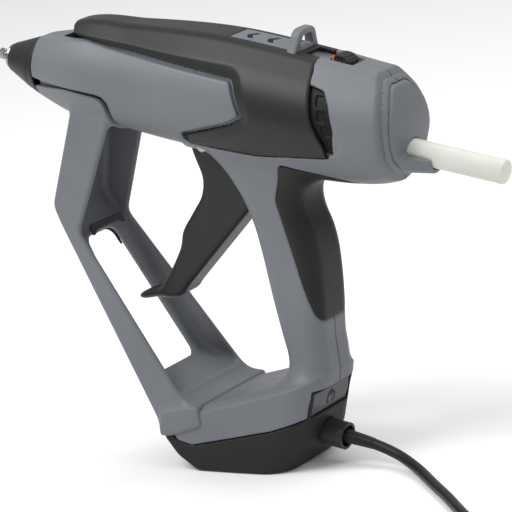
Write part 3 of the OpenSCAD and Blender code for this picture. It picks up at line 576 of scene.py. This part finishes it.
# %% Seams between the shells
COVER = rounded([(-184, 27.0), (-180.7, 21.9), (-86.1, 21.6), (-77.1, 6), (-84, 1), (-112.5, -11.1),
                 (-109.5, -14.6), (-73, -12.3), (-31.2, -4.2), (-41.9, 12.4), (-48.2, 32), (-52, 45),
                 (-184, 45)], 2.0)
PANEL = rounded([(-260, 22.2), (-180.7, 21.9), (-86.1, 21.6), (-77.1, 6), (-84, 1), (-112.5, -11.1),
                 (-125, -40), (-260, -40)], 2.5)
COLLAR = rounded([(-215, -3), (-155.4, -3), (-154.4, -40), (-215, -40)], 5.0)
VENT = rounded([(-46.5, 26), (-38.5, 24.8), (-34.5, 19.5), (-25.6, 1.2), (-29.6, -2.4), (-36, -2.4),
                (-50, 18)], 1.6)
INLAY_X, INLAY_HALF = (-97.0, -60.2), 7.5
GRIP = rounded([(44.6, 73.5), (48, 68.2), (62, 63), (62, 118), (84, 126), (75.5, 134.4), (70, 139.6),
                (61, 142.4), (38.6, 147.8), (36.4, 145.2), (31.0, 130), (37.6, 104)], 3.0)
LAYER = 2.0
SEAM = 0.12
PANEL_DROP = 1.4


def cover_region(b):
    return outline(COVER, b.bx, b.bz)


def panel_bevel(b):
    """The cover slopes down to the panel over a border that widens towards the rear."""
    width = np.interp(b.bx, [-178, -90], [1.2, 5.6]).astype(np.float32)
    depth = np.interp(b.bx, [-178, -140], [0.6, PANEL_DROP + 0.5]).astype(np.float32)
    return depth * np.clip(1 - outline(PANEL, b.bx, b.bz) / width, 0, 1)


def inlay_region(b):
    lengthwise = np.maximum(INLAY_X[0] - b.bx, b.bx - INLAY_X[1])
    return np.maximum(np.maximum(lengthwise, b.y - INLAY_HALF), 28 - b.bz)


def track_region(b):
    """The pocket that the feed adjuster slides in."""
    lengthwise = np.maximum(-57.2 - b.bx, b.bx + 32.8)
    return np.maximum(np.maximum(lengthwise, b.y - 6.3), 33.4 - b.bz)


# %% [markdown]
# The housing is two halves, split along the middle and screwed together from the right. They
# carry the grey of the whole body: barrel, handle and base. Where the cover, the collar and
# the grip lie on it, it is set back by their thickness, so they end up flush.

# %% Housing halves
WALL = 5.0
SCREWS = [(-172, 15), (-66, 22), (-24, 19)]
HANDLE_SCREWS = [(33, 98), (36, 63)]
HEAD_R, HEAD_SEAT = 3.1, 9.0
SPLIT = 0.12
TRIGGER_SLOT = [(-26, 140), (-2, 108), (26, 106), (30, 118), (30, 150), (12, 172), (-26, 172)]

housing = Block((-110, 0, 10), (106, 33, 202), 0.6)
skin, barrel_skin = body_form(housing)


def lay_over(form, region, depth, clearance=SEAM):
    """Sets a form back by depth inside a region, for another shell to lie there."""
    return cut_out(form, np.maximum(region - clearance, -(form + depth)), 0.35)


to_panel = outline(PANEL, housing.bx, housing.bz)
under_cover = np.maximum(cover_region(housing), -to_panel)
front_lap = np.where(housing.bx < -172, -0.9, SEAM)
grey = lay_over(skin + panel_bevel(housing) * np.clip(-under_cover * 4, 0, 1), under_cover,
                LAYER + 0.2, front_lap)
grey = lay_over(grey, outline(COLLAR, housing.bx, housing.bz), LAYER + 0.2)
ramp = np.clip((housing.bx + 192) / 34, 0, 1) * np.clip(-housing.bx - 60, 0, 1)
low_side = np.clip((housing.bz + 19) / 13, 0, 1)
inside_panel = np.clip(0.5 - to_panel, 0, 1)
grey = grey + (1.0 + (PANEL_DROP - 1.0) * low_side) * ramp * inside_panel
grey = lay_over(grey, outline(GRIP, housing.x, housing.z), 2.0)
grey = cut_out(grey, np.maximum(outline(VENT, housing.bx, housing.bz), -(barrel_skin + 3.2)), 1.4)
grey = cut_out(grey, track_region(housing), 0.8)
# the rear of the barrel: a soft step, a rim band, and a seat for the end cap
rear = rear_depth(housing)
grey = soft_cut(grey, rear + 4.2, 0.7)
band = soft_cut(skin + 0.9, rear + 1.7, 4.5)
band = soft_cut(band, -(housing.bx + 30), 0.5)
grey = join(grey, band, 0.5)
crease = np.maximum(np.abs(rear + 3.7) - 0.45, -(skin + 2.8))
grey = cut_out(grey, crease, 0.7)
grey = cut_out(grey, soft_cut(skin + 4.2, -(rear + 4.5), 0.5), 0.4)
# hollow inside, and the trigger's slot
grey = cut_out(grey, np.maximum(skin + WALL, rear + 8.0), 0.5)
slot = np.maximum(outline(TRIGGER_SLOT, housing.x, housing.z), housing.y - 9.5)
grey = cut_out(grey, slot, 1.0)
grey = cut_out(grey, np.maximum(housing.radial - 6.1, -housing.bx - 12), 0.3)
grey = cut_out(grey, np.maximum(np.hypot(housing.x - 38.2, housing.z - 32.4) - 1.0,
                                housing.y - 18.2), 0.3)
rear_wall = np.maximum(np.maximum(36.9 - housing.x, np.abs(housing.z - 30.0) - 9.4), housing.y - 18.1)
grey = cut_out(grey, rear_wall, 0.4)

whole_y = np.concatenate((-housing.y[:, :0:-1], housing.y), axis=1)
grey = both_halves(grey)
for places, along, up in ((SCREWS, housing.bx, housing.bz), (HANDLE_SCREWS, housing.x, housing.z)):
    for x, z in places:
        hole = np.maximum(np.hypot(along - x, up - z) - HEAD_R, HEAD_SEAT - whole_y)
        grey = cut_out(grey, hole, 0.5)
shell_from("housing_left_shell", soft_cut(grey, whole_y + SPLIT, 0.5), housing, GREY_ABS,
           "body", ["housing_left"], whole=True)
shell_from("housing_right_shell", soft_cut(grey, SPLIT - whole_y, 0.5), housing, GREY_ABS,
           "body", ["housing_right"], whole=True)

# %% [markdown]
# The black cover is a thin second shell over the barrel. Its border slopes down to the grey
# panel, which is what frames the panel with a lighter band when light falls from above.

# %% Barrel cover, top inlay and vents
barrel_block = Block((-100, 0, 112), (66, 32, 214), 0.6)
cover_skin = barrel_form(barrel_block)
cover = cover_skin + panel_bevel(barrel_block)
cover = soft_cut(cover, cover_region(barrel_block), 0.7)
cover = soft_cut(cover, -outline(PANEL, barrel_block.bx, barrel_block.bz) + 0.1, 0.4)
cover = cut_out(cover, cover_skin + panel_bevel(barrel_block) + LAYER, 0.3)
cover = cut_out(cover, inlay_region(barrel_block) - SEAM, 0.4)
cover = cut_out(cover, track_region(barrel_block), 0.8)
shell_from("barrel_cover_shell", cover, barrel_block, BLACK_ABS, "body", ["barrel_cover"])

CHEVRONS = [-90.5, -79.5]
inlay_block = Block((-8, 0, 180), (52, 12, 204), 0.4)
inlay_skin = barrel_form(inlay_block)
inlay = meet(inlay_skin - 0.1, inlay_region(inlay_block) + 0.15, 0.8)
inlay = cut_out(inlay, inlay_skin + LAYER, 0.2)
marks = 99.0
for x in CHEVRONS:
    arrow = np.abs(inlay_block.bx - (x + 0.55 * inlay_block.y)) - 1.3
    marks = np.minimum(marks, np.maximum(arrow, inlay_block.y - 4.6))
shell_from("top_inlay_shell", cut_out(inlay, marks + 0 * inlay_skin, 0.4), inlay_block, GREY_ABS,
           "body", ["top_inlay"])
chevrons = soft_cut(np.maximum(inlay_skin + 0.5, -(inlay_skin + 1.8)), marks + 0.15, 0.2)
shell_from("top_inlay_marks", chevrons, inlay_block, VENT_ABS, "body", ["top_inlay"])

VENT_SLOTS = [(-39.6, 20.0, 1.7), (-37.0, 14.0, 1.9), (-33.9, 8.0, 2.0), (-31.0, 2.2, 2.0)]
vent_block = Block((50, 0, 140), (82, 32, 186), 0.4)
vent_skin = barrel_form(vent_block)
vent = soft_cut(vent_skin + 2.4, outline(VENT, vent_block.bx, vent_block.bz) + 0.2, 0.6)
vent = cut_out(vent, vent_skin + 4.6, 0.3)
for x, z, r in VENT_SLOTS:
    slot = outline(rounded([(x - r, z - 2.2), (x + r, z - 2.2), (x + r - 1, z + 2.2),
                            (x - r - 1, z + 2.2)], 0.6), vent_block.bx, vent_block.bz)
    vent = cut_out(vent, np.maximum(slot, -(vent_skin + 3.1)), 0.3)
shell_from("vent_inserts_shell", vent, vent_block, VENT_ABS, "body", ["vent_inserts"])

# %% [markdown]
# The end cap closes the rear of the barrel. It is domed, stands a little inside the rim band,
# and carries the cradle that the glue stick is laid in.

# %% Rear cap
GUIDE_R = 6.0
cap_block = Block((84, 0, 128), (118, 28, 190), 0.45)
cap = soft_cut(barrel_form(cap_block) + 4.4, rear_depth(cap_block) + 0.9, 1.2)
cap = soft_cut(cap, -(rear_depth(cap_block) + 4.4), 0.3)
cradle = soft_cut(cap_block.radial - (9.8 - 0.18 * cap_block.bx), cap_block.bz + 0.4, 0.8)
cradle = soft_cut(soft_cut(cradle, cap_block.bx - 10.6, 1.0), -cap_block.bx - 4.0, 0.4)
cap = cut_out(join(cap, cradle, 2.2), cap_block.radial - GUIDE_R, 0.7)
shell_from("rear_cap_shell", cap, cap_block, GREY_ABS, "body", ["rear_cap"])

# %% [markdown]
# The grip is soft rubber moulded over the back of the handle. It runs up under the barrel,
# where the web of the hand bears. A hair-thin seam runs all round it.

# %% Handle grip
grip_block = Block((28, 0, 58), (90, 26, 152), 0.6)
grip_skin, _ = body_form(grip_block)
grip = soft_cut(grip_skin - 0.1, outline(GRIP, grip_block.x, grip_block.z) + SEAM, 1.1)
grip = cut_out(grip, grip_skin + 1.9, 0.3)
shell_from("handle_grip_shell", grip, grip_block, GRIP_RUBBER, "body", ["handle_grip"])

# %% [markdown]
# The stand bow carries the barrel's front when the gun is put down. It is a channel: a web in
# front, two walls behind it, and a long slot through the web. Its top is the collar.

# %% Stand bow with its collar, and the rubber strip on its knee
BOW_SIDE = rounded([(-36.5, 17.6), (-31.5, 18.0), (-15.6, 23.2), (-16.4, 31.0), (-21.5, 32.6),
                    (-26.5, 36.5), (-77.8, 111.5), (-56.6, 163.5), (-54.5, 176), (-76, 176),
                    (-92.1, 124), (-88.6, 115.8)], 3.2)
BOW_CHANNEL = rounded([(-46.4, 43.5), (-29, 36.5), (4, 44), (4, 190), (-73, 190), (-88.8, 123.4),
                       (-85.4, 116.8)], 3.0)
SLOT_FOOT, SLOT_LEAN, SLOT_LENGTH = (-45.0, 43.0), math.atan2(63, -37), 73.0


def bow_half(b):
    return 30.2 - (b.z - 17) * 0.0895


def bow_frame(b):
    form = meet(outline(BOW_SIDE, b.x, b.z), (b.y - bow_half(b)), 2.0)
    channel = meet(outline(BOW_CHANNEL, b.x, b.z), b.y - (bow_half(b) - 2.8), 3.5)
    dx, dz = b.x - SLOT_FOOT[0], b.z - SLOT_FOOT[1]
    up = dx * math.cos(SLOT_LEAN) + dz * math.sin(SLOT_LEAN)
    off = -dx * math.sin(SLOT_LEAN) + dz * math.cos(SLOT_LEAN)
    half = 19 - 7 * up / SLOT_LENGTH
    opening = meet(b.y - half, np.maximum(-up, up - SLOT_LENGTH), 5.0)
    opening = np.maximum(opening, np.abs(off) - 18)
    return cut_out(form, channel, 1.6), opening


bow_block = Block((-108, 0, 14), (-10, 32, 180), 0.65)
bow_barrel = barrel_form(bow_block)
frame_part, opening = bow_frame(bow_block)
frame_part = cut_out(frame_part, bow_barrel + 0.8, 0.4)
base_part = soft_cut(base_plan(bow_block), outline(
    [(-36.5, 17.6), (-31.2, 18.2), (-15.6, 23.2), (-16.4, 30.8), (-35, 27)], bow_block.x,
    bow_block.z), 0.5)
collar = soft_cut(bow_barrel, outline(COLLAR, bow_block.bx, bow_block.bz) + SEAM, 0.5)
collar = soft_cut(cut_out(collar, bow_barrel + LAYER + 0.8, 0.3), nose_plane(bow_block) + SEAM, 0.4)
bow = join(join(frame_part, base_part, 6.0), collar, 4.0)
bow = cut_out(bow, opening, 1.2)
shell_from("stand_bow_shell", bow, bow_block, GREY_ABS, "body", ["stand_bow"])

PAD = rounded([(-78, 118), (-97, 115.4), (-85.5, 94.5), (-72, 98)], 1.0)
pad_block = Block((-98, 0, 90), (-70, 18, 122), 0.4)
pad_frame, pad_opening = bow_frame(pad_block)
pad = soft_cut(outline(BOW_SIDE, pad_block.x, pad_block.z) - 1.3, pad_block.y - 14, 1.0)
pad = cut_out(soft_cut(pad, outline(PAD, pad_block.x, pad_block.z), 0.8), pad_frame - 0.15, 0.2)
pad = cut_out(pad, outline(BOW_SIDE, pad_block.x, pad_block.z) - 0.1, 0.2)
pad = cut_out(pad, pad_opening, 0.5)
shell_from("bow_pad_strip", pad, pad_block, GRIP_RUBBER, "body", ["bow_pad"])

# %% [markdown]
# The foot is a rubber-like black shell under the grey base, with a long curved toe, a raised
# rear wall that holds the switch, and a sloping underside below the cable gland.

# %% Foot
FOOT_SIDE = rounded([(-19.6, 0), (26.5, 0), (29, 1.5), (36, 15), (43.6, 39.2), (36.9, 39.2),
                     (36.9, 26.2), (21.4, 21.2), (-21.4, 12.5), (-28.3, 14.4), (-31.6, 18.0),
                     (-36.6, 17.2), (-29.6, 7.2)], 2.6)
GLAND_AT, GLAND_TILT = (35.0, 14.9), math.radians(10)
foot_block = Block((-40, 0, -2), (50, 33, 42), 0.5)
foot = soft_cut(base_plan(foot_block), outline(FOOT_SIDE, foot_block.x, foot_block.z), 1.6)
foot = meet(foot, -foot_block.z + 0 * foot_block.x, 1.2)
corner = np.maximum(18 - foot_block.y, np.maximum(26.2 - foot_block.z, 26 - foot_block.x))
foot = cut_out(foot, corner, 0.4)
well = np.maximum(np.maximum(np.abs(foot_block.x - 3) - 23, foot_block.y - 18), 3 - foot_block.z)
foot = cut_out(foot, well, 0.5)
gx, gz = foot_block.x - GLAND_AT[0], foot_block.z - GLAND_AT[1]
gland_out = gx * math.cos(GLAND_TILT) - gz * math.sin(GLAND_TILT)
gland_up = gx * math.sin(GLAND_TILT) + gz * math.cos(GLAND_TILT)
from_gland = np.hypot(gland_up, foot_block.y)
foot = cut_out(foot, from_gland - 5.2, 0.3)
foot = cut_out(foot, np.maximum(from_gland - 6.8, 0.2 - gland_out), 0.4)
LEAN = math.atan2(43.6 - 36, 39.2 - 15)
rx, rz = foot_block.x - 38.2, foot_block.z - 32.4
out = rx * math.cos(LEAN) - rz * math.sin(LEAN)
up = rx * math.sin(LEAN) + rz * math.cos(LEAN)
window = np.maximum(np.maximum(foot_block.y - 16.3, np.abs(up) - 6.05), -12 - out)
foot = cut_out(foot, window, 0.4)
for x, y in ((-15, 22.5), (18, 21)):
    hole = np.hypot(foot_block.x - x, foot_block.y - y)
    foot = cut_out(foot, np.maximum(hole - 2.9, foot_block.z - 1.4), 0.3)
shell_from("base_foot_shell", foot, foot_block, FOOT_RUBBER, "body", ["base_foot"])

# %% [markdown]
# The rocker of the mains switch sits in the foot's rear wall. Its face carries the generic
# power sign, engraved: a ring open at the top with a bar in the gap.

# %% Switch rocker
rocker_block = Block((28, 0, 22), (50, 18, 42), 0.3)
rx, rz = rocker_block.x - 38.2, rocker_block.z - 32.4
out = rx * math.cos(LEAN) - rz * math.sin(LEAN)
up = rx * math.sin(LEAN) + rz * math.cos(LEAN)
crown = 1.5 + 0.25 * np.cos(up / 5.75 * math.pi)
rocker = meet(meet(out - crown, rocker_block.y - 15.9, 0.7), np.abs(up) - 5.9, 0.7)
rocker = soft_cut(rocker, -1.35 - out + 0 * rocker_block.y, 0.3)
ring = np.abs(np.hypot(up + 0.3, rocker_block.y) - 3.0) - 0.5
ring = np.maximum(ring, np.minimum(1.4 - rocker_block.y, 0.3 - up))
bar = np.maximum(rocker_block.y - 0.5, np.abs(up - 2.1) - 2.0)
sign = np.maximum(np.minimum(ring, bar), 1.1 - out)
rocker = cut_out(rocker, sign, 0.15)
# The rocker's material is the housing grey with painted shade.
shell_from("power_rocker_cap", rocker, rocker_block, ROCKER_GREY_PAINTED_SHADE, "rocker", ["power_rocker"])
printed = np.maximum(sign - 0.12, np.abs(out - crown + 0.25) - 0.3)
shell_from("power_rocker_sign", printed, rocker_block, VENT_ABS, "rocker", ["power_rocker"])

# %% [markdown]
# The trigger is a long black lever hung from a pin high in the barrel. Two fingers pull it
# back; its toe curls forward under the barrel. Two arms inside the housing carry the hub.

# %% Trigger
TRIGGER = rounded([(-56, 79.5), (-59.4, 76.8), (-57, 75), (-47, 77.2), (-41, 77), (-36, 77.4),
                   (-31.5, 79.6), (-29.4, 82.5), (14, 125), (15, 132), (8, 148), (2, 158), (-12, 158),
                   (-18, 153), (-16, 146), (-12.6, 137), (-14.5, 128), (-28.2, 110.5), (-29.7, 103),
                   (-36.5, 92), (-44, 82.7), (-48, 80.6)], 4.0)
ARM_LEAN = math.radians(11)
PIN_AT = (-5.17, 154.22)
trigger_block = Block((-63, 0, 72), (20, 15, 182), 0.6)
tip = 9.0 - 2.2 * np.clip((-40 - trigger_block.x) / 18, 0, 1)
trigger = meet(outline(TRIGGER, trigger_block.x, trigger_block.z), trigger_block.y - tip, 3.2)
ax, az = trigger_block.x - PIN_AT[0], trigger_block.z - PIN_AT[1]
hub_from = np.hypot(ax, az)
trigger = join(trigger, np.maximum(hub_from - 6.0, trigger_block.y - 12.3), 1.0)
arm_up = ax * math.sin(ARM_LEAN) + az * math.cos(ARM_LEAN)
arm_off = ax * math.cos(ARM_LEAN) - az * math.sin(ARM_LEAN)
arm = meet(np.abs(arm_off) - 4.7, np.abs(arm_up - 9) - 11, 2.0)
arm = meet(arm, np.abs(trigger_block.y - 11.15) - 1.2, 0.5)
trigger = join(trigger, arm, 0.6)
trigger = cut_out(trigger, hub_from - 2.55, 0.3)
shell_from("trigger_lever_moulding", trigger, trigger_block, BLACK_ABS, "trigger_lever",
           ["trigger"])

# %% [markdown]
# The feed adjuster is a small ribbed slide on top of the barrel, with an orange mark near
# its front. The loop in front of it is what the gun hangs by.

# %% Feed adjuster and hanging loop
KNOB = rounded([(-45.8, 33.7), (-35.0, 33.7), (-35.5, 35.8), (-38.4, 37.8), (-42.2, 38.0),
                (-45.1, 35.9)], 0.8)
knob_block = Block((48, 0, 190), (72, 8, 202), 0.22)
knob_side = outline(KNOB, knob_block.bx, knob_block.bz)
knob = meet(knob_side, knob_block.y - 4.7, 0.8)
ribs = np.cos((knob_block.bx + 40.3) * 2 * math.pi / 1.5) * 0.16
knob = np.where(knob_block.bz > 35.5, knob + 0.16 + ribs, knob)
band_slot = np.abs(knob_block.bx + 43.6) - 0.65
mark = np.maximum(np.maximum(knob_side - 0.1, knob_block.y - 4.8),
                  np.maximum(band_slot + 0.1, 34 - knob_block.bz))
knob = cut_out(knob, band_slot + 0 * knob_side, 0.2)
shell_from("adjuster_knob_slide", knob, knob_block, BLACK_ABS, "adjuster", ["adjuster_knob"])
shell_from("adjuster_band_mark", mark, knob_block, ORANGE_ABS, "adjuster", ["adjuster_band"])

LOOP = rounded([(33.2, -11.8), (33.2, 11.8), (37.5, 9.6), (45.8, 6.4), (45.8, -6.4), (37.5, -9.6)], 3.4)
LOOP_HOLE = rounded([(37.0, -5.4), (37.0, 5.4), (42.9, 3.5), (42.9, -3.5)], 1.7)
LOOP_AT, LOOP_HALF = -62.6, 2.3
loop_block = Block((30, 0, 186), (54, 13, 212), 0.3)
loop = meet(outline(LOOP, loop_block.bz, loop_block.y + 0 * loop_block.bx),
            np.abs(loop_block.bx - LOOP_AT) - LOOP_HALF, 0.9)
loop = cut_out(loop, outline(LOOP_HOLE, loop_block.bz, loop_block.y + 0 * loop_block.bx), 0.8)
shell_from("hanging_loop_eye", loop, loop_block, GREY_ABS, "body", ["hanging_loop"])

# %% [markdown]
# Round parts are turned, so they are drawn as a profile spun round the barrel's axis: the
# nose cone, the nozzle and the glue stick. The nozzle ends in a small six-sided tip.

# %% Turned parts
def barrel_matrix():
    axis = Vector((math.cos(TILT), 0, -math.sin(TILT)))
    up = Vector((math.sin(TILT), 0, math.cos(TILT)))
    turned = Matrix((axis, Vector((0, 1, 0)), up)).transposed().to_4x4()
    return Matrix.Translation(Vector((INLET[0], 0, INLET[1])) * MM) @ turned


def turned_part(name, profile, sides, material, body, nodes, faceted=()):
    """Spins a profile of (x, radius) points; spans named in faceted get six flats."""
    mesh = bmesh.new()
    rings = []
    for i, (x, radius) in enumerate(profile):
        ring = []
        for k in range(sides):
            angle = 2 * math.pi * k / sides
            flat = 1.0
            if i in faceted:
                flat = math.cos(math.pi / 6) / math.cos((angle + math.pi / 6) % (math.pi / 3) - math.pi / 6)
            ring.append(mesh.verts.new((x * MM, radius * flat * math.cos(angle) * MM,
                                        radius * flat * math.sin(angle) * MM)))
        rings.append(ring)
    for a, b in zip(rings, rings[1:]):
        for k in range(sides):
            mesh.faces.new((a[k], a[(k + 1) % sides], b[(k + 1) % sides], b[k]))
    mesh.faces.new(rings[0][::-1])
    mesh.faces.new(rings[-1])
    bmesh.ops.recalc_face_normals(mesh, faces=mesh.faces)
    data = bpy.data.meshes.new(name)
    mesh.to_mesh(data)
    mesh.free()
    data.transform(barrel_matrix())
    made = bpy.data.objects.new(name, data)
    bpy.context.scene.collection.objects.link(made)
    data.materials.append(material)
    shade(made, 30)
    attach(made, body)
    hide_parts(*nodes)
    print("%s: %d faces" % (name, len(data.polygons)))
    return made


nozzle_profile = [(-230.45, 0.75), (-230.5, 1.1), (-230.2, 2.3), (-229.8, 2.9), (-227.5, 2.9),
                  (-227.1, 2.5), (-226.8, 2.15), (-226.2, 2.2), (-225.8, 2.9), (-225.0, 3.7),
                  (-224.2, 4.8), (-223.5, 5.7), (-223.1, 6.0), (-222.1, 6.0), (-222.0, 5.8),
                  (-221.9, 0.75)]
turned_part("nozzle_turned", nozzle_profile, 72, NICKEL, "body", ["nozzle"],
            faceted=(3, 4))
stick_profile = [(-151.3, 0.0001), (-151.3, 5.2), (-150.9, 5.6), (44.1, 5.6), (44.55, 5.35),
                 (44.7, 4.9), (44.7, 0.0001)]
turned_part("glue_stick_cast", stick_profile, 64, HOT_MELT, "stick", ["glue_stick"])

nose_block = Block((-142, 0, 170), (-92, 22, 218), 0.4)
cone_radius = smooth_through([-223, -216, -209, -199], [6.3, 9.2, 12.2, 16.6], nose_block.bx)
cone = (nose_block.radial - cone_radius) * 0.92
cone = soft_cut(cone, barrel_form(nose_block), 1.2)
cone = soft_cut(cone, -(nose_plane(nose_block) - 0.4), 0.8)
cone = meet(cone, -222.0 - nose_block.bx, 0.8)
cone = cut_out(cone, np.maximum(nose_block.radial - cone_radius + 2.6, -220 - nose_block.bx), 0.3)
shell_from("nose_cap_moulding", cone, nose_block, CONE_PHENOLIC, "body", ["nose_cap"])

# %% [markdown]
# The plug is moulded onto the cord in black rubber, with a waist for the fingers and two
# round pins. Strain reliefs are tapered, so that the cord bends gently where it leaves.

# %% Plug and strain reliefs
PLUG_AT = (184.0, 33.5)
PLUG = rounded([(0, -4), (0, 4), (-12, 10), (-32, 17), (-36, 14), (-36, -14), (-32, -17), (-12, -10)],
                3.5)


def mesh_grid(low, high, step):
    axes = [low[i] + step * np.arange(int((high[i] - low[i]) / step) + 2) for i in range(3)]
    return axes[0][:, None, None], axes[1][None, :, None], axes[2][None, None, :]


class OpenBlock:
    """Sample points for a piece that isn't on the gun's middle plane."""

    def __init__(self, low, high, step):
        self.step, self.low = step, np.array(low, float)
        self.x, self.y, self.z = [a.astype(np.float32) for a in mesh_grid(low, high, step)]


PLUG_TURN = math.radians(8)
plug_block = OpenBlock((144, 13, -1.5), (187, 58, 15.5), 0.4)
dx, dy = plug_block.x - PLUG_AT[0], plug_block.y - PLUG_AT[1]
px = dx * math.cos(PLUG_TURN) - dy * math.sin(PLUG_TURN)
py = dx * math.sin(PLUG_TURN) + dy * math.cos(PLUG_TURN)
plug = meet(outline(PLUG, px, py), np.abs(plug_block.z - 6.8) - 6.75, 3.2)
finger = np.maximum(np.abs(((px + 25) / 2.6 + 0.5) % 1.0 - 0.5) * 2.6 - 0.55, np.abs(px + 20) - 6.5)
plug = cut_out(plug, np.maximum(finger, 6.0 - np.abs(plug_block.z - 6.8)), 0.3)
plug_piece = shell_from("plug_moulding", plug, plug_block, CORD_RUBBER, "body", ["plug_body"],
                        whole=True)


def strain_relief(name, first, last, radii):
    """A tapered sleeve with ring grooves along a stretch of the cord."""
    line = [p for p in cord_line][first:last]
    mesh = bmesh.new()
    rings = []
    total = len(line) - 1
    for i in range(total * 3 + 1):
        f = i / 3
        here, nxt = line[min(int(f), total)], line[min(int(f) + 1, total)]
        place = here.lerp(nxt, f - int(f))
        heading = (line[min(int(f) + 1, total)] - line[max(int(f) - 1, 0)]).normalized()
        side = heading.cross(Vector((0, 0, 1))).normalized()
        lift = side.cross(heading)
        share = i / (total * 3)
        radius = radii[0] + (radii[1] - radii[0]) * share - (0.22 if i % 2 else 0.0)
        rings.append([mesh.verts.new(place + (side * math.cos(a) + lift * math.sin(a)) * radius * MM)
                      for a in (2 * math.pi * k / 32 for k in range(32))])
    for a, b in zip(rings, rings[1:]):
        for k in range(32):
            mesh.faces.new((a[k], a[(k + 1) % 32], b[(k + 1) % 32], b[k]))
    mesh.faces.new(rings[0][::-1])
    mesh.faces.new(rings[-1])
    bmesh.ops.recalc_face_normals(mesh, faces=mesh.faces)
    data = bpy.data.meshes.new(name)
    mesh.to_mesh(data)
    mesh.free()
    made = bpy.data.objects.new(name, data)
    bpy.context.scene.collection.objects.link(made)
    data.materials.append(CORD_RUBBER)
    shade(made, 40)
    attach(made, "body")
    run = sum((b - a).length for a, b in zip(line, line[1:]))
    print("%s: %.1f mm long" % (name, run / MM))
    return made


relief = strain_relief("strain_relief_sleeve", 0, 10, (3.9, 2.75))

# %% [markdown]
# The parts that the shells hide keep their exact CAD shapes. They get their own finishes and
# a small bevel, so that their edges catch light as machined and moulded ones do.

# %% Inner parts
INNER = {
    "melt_chamber": CAST_ALUMINIUM, "heater_plates": CERAMIC, "chamber_clamps": ZINC,
    "thermal_fuse": CERAMIC, "inlet_sleeve": SILICONE, "stick_guide": BLACK_ABS,
    "housing_screws": ZINC, "trigger_pin": ZINC, "trigger_spring": ZINC, "foot_screws": ZINC,
    "control_board": BOARD, "switch_body": BLACK_ABS, "wire_loom": WIRE, "cable_gland": BLACK_ABS,
    "feed_carriage": GREY_ABS, "clamp_jaw": ZINC,
    "plug_pins": BRASS, "coil_tie": TAPE}

for name, material in INNER.items():
    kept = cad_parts[name]
    for part in ([kept] if isinstance(kept, bpy.types.Object) else list(kept)):
        part.data.materials.clear()
        part.data.materials.append(material)
        edge = part.modifiers.new("edge", "BEVEL")
        edge.width = 0.3 * MM
        edge.segments = 2
        edge.limit_method = "ANGLE"
        edge.angle_limit = math.radians(35)
print("inner parts finished:", len(INNER))

# %% [markdown]
# A pale plain floor with a soft light tent: one broad light above and in front, one fill
# from the camera's side and a weak one from behind, so that black shells keep their edges.

# %% Floor and light
floor_data = bpy.data.meshes.new("floor")
floor_data.from_pydata([(-6, -6, 0), (6, -6, 0), (6, 6, 0), (-6, 6, 0)], [], [(0, 1, 2, 3)])
floor = bpy.data.objects.new("floor", floor_data)
bpy.context.scene.collection.objects.link(floor)
floor_material, floor_tree = new_material("floor_matt_paper")
paper_place = add_node(floor_tree, "ShaderNodeTexCoord")
paper = add_node(floor_tree, "ShaderNodeTexNoise", Vector=paper_place.outputs["Object"], Scale=40.0)
paper_rough = add_node(floor_tree, "ShaderNodeMapRange", Value=paper.outputs["Fac"], To_Min=0.7,
                       To_Max=0.8)
paper_shader = add_node(floor_tree, "ShaderNodeBsdfPrincipled", Base_Color=linear("#F6F6F6"),
                        Roughness=paper_rough.outputs[0])
finish_material(floor_tree, paper_shader)
floor_data.materials.append(floor_material)


def soft_light(name, place, target, size, watts):
    data = bpy.data.lights.new(name, "AREA")
    data.shape = "SQUARE"
    data.size = size
    data.energy = watts
    made = bpy.data.objects.new(name, data)
    made.location = place
    made.rotation_euler = (Vector(target) - Vector(place)).to_track_quat("-Z", "Y").to_euler()
    bpy.context.scene.collection.objects.link(made)
    return made


MIDDLE = (0.0, 0.0, 0.11)
soft_light("light_above", (-0.55, -0.75, 1.35), MIDDLE, 0.8, 17.0)
soft_light("light_top", (0.3, 0.5, 1.7), MIDDLE, 1.2, 12.0)
soft_light("light_rear", (1.4, -0.1, 0.8), MIDDLE, 0.6, 2.5)
world = bpy.data.worlds.new("studio")
world.use_nodes = True
world.node_tree.nodes["Background"].inputs["Color"].default_value = linear("#FFFFFF")
world.node_tree.nodes["Background"].inputs["Strength"].default_value = 0.55
bpy.context.scene.world = world
bpy.context.scene.view_settings.view_transform = "Standard"
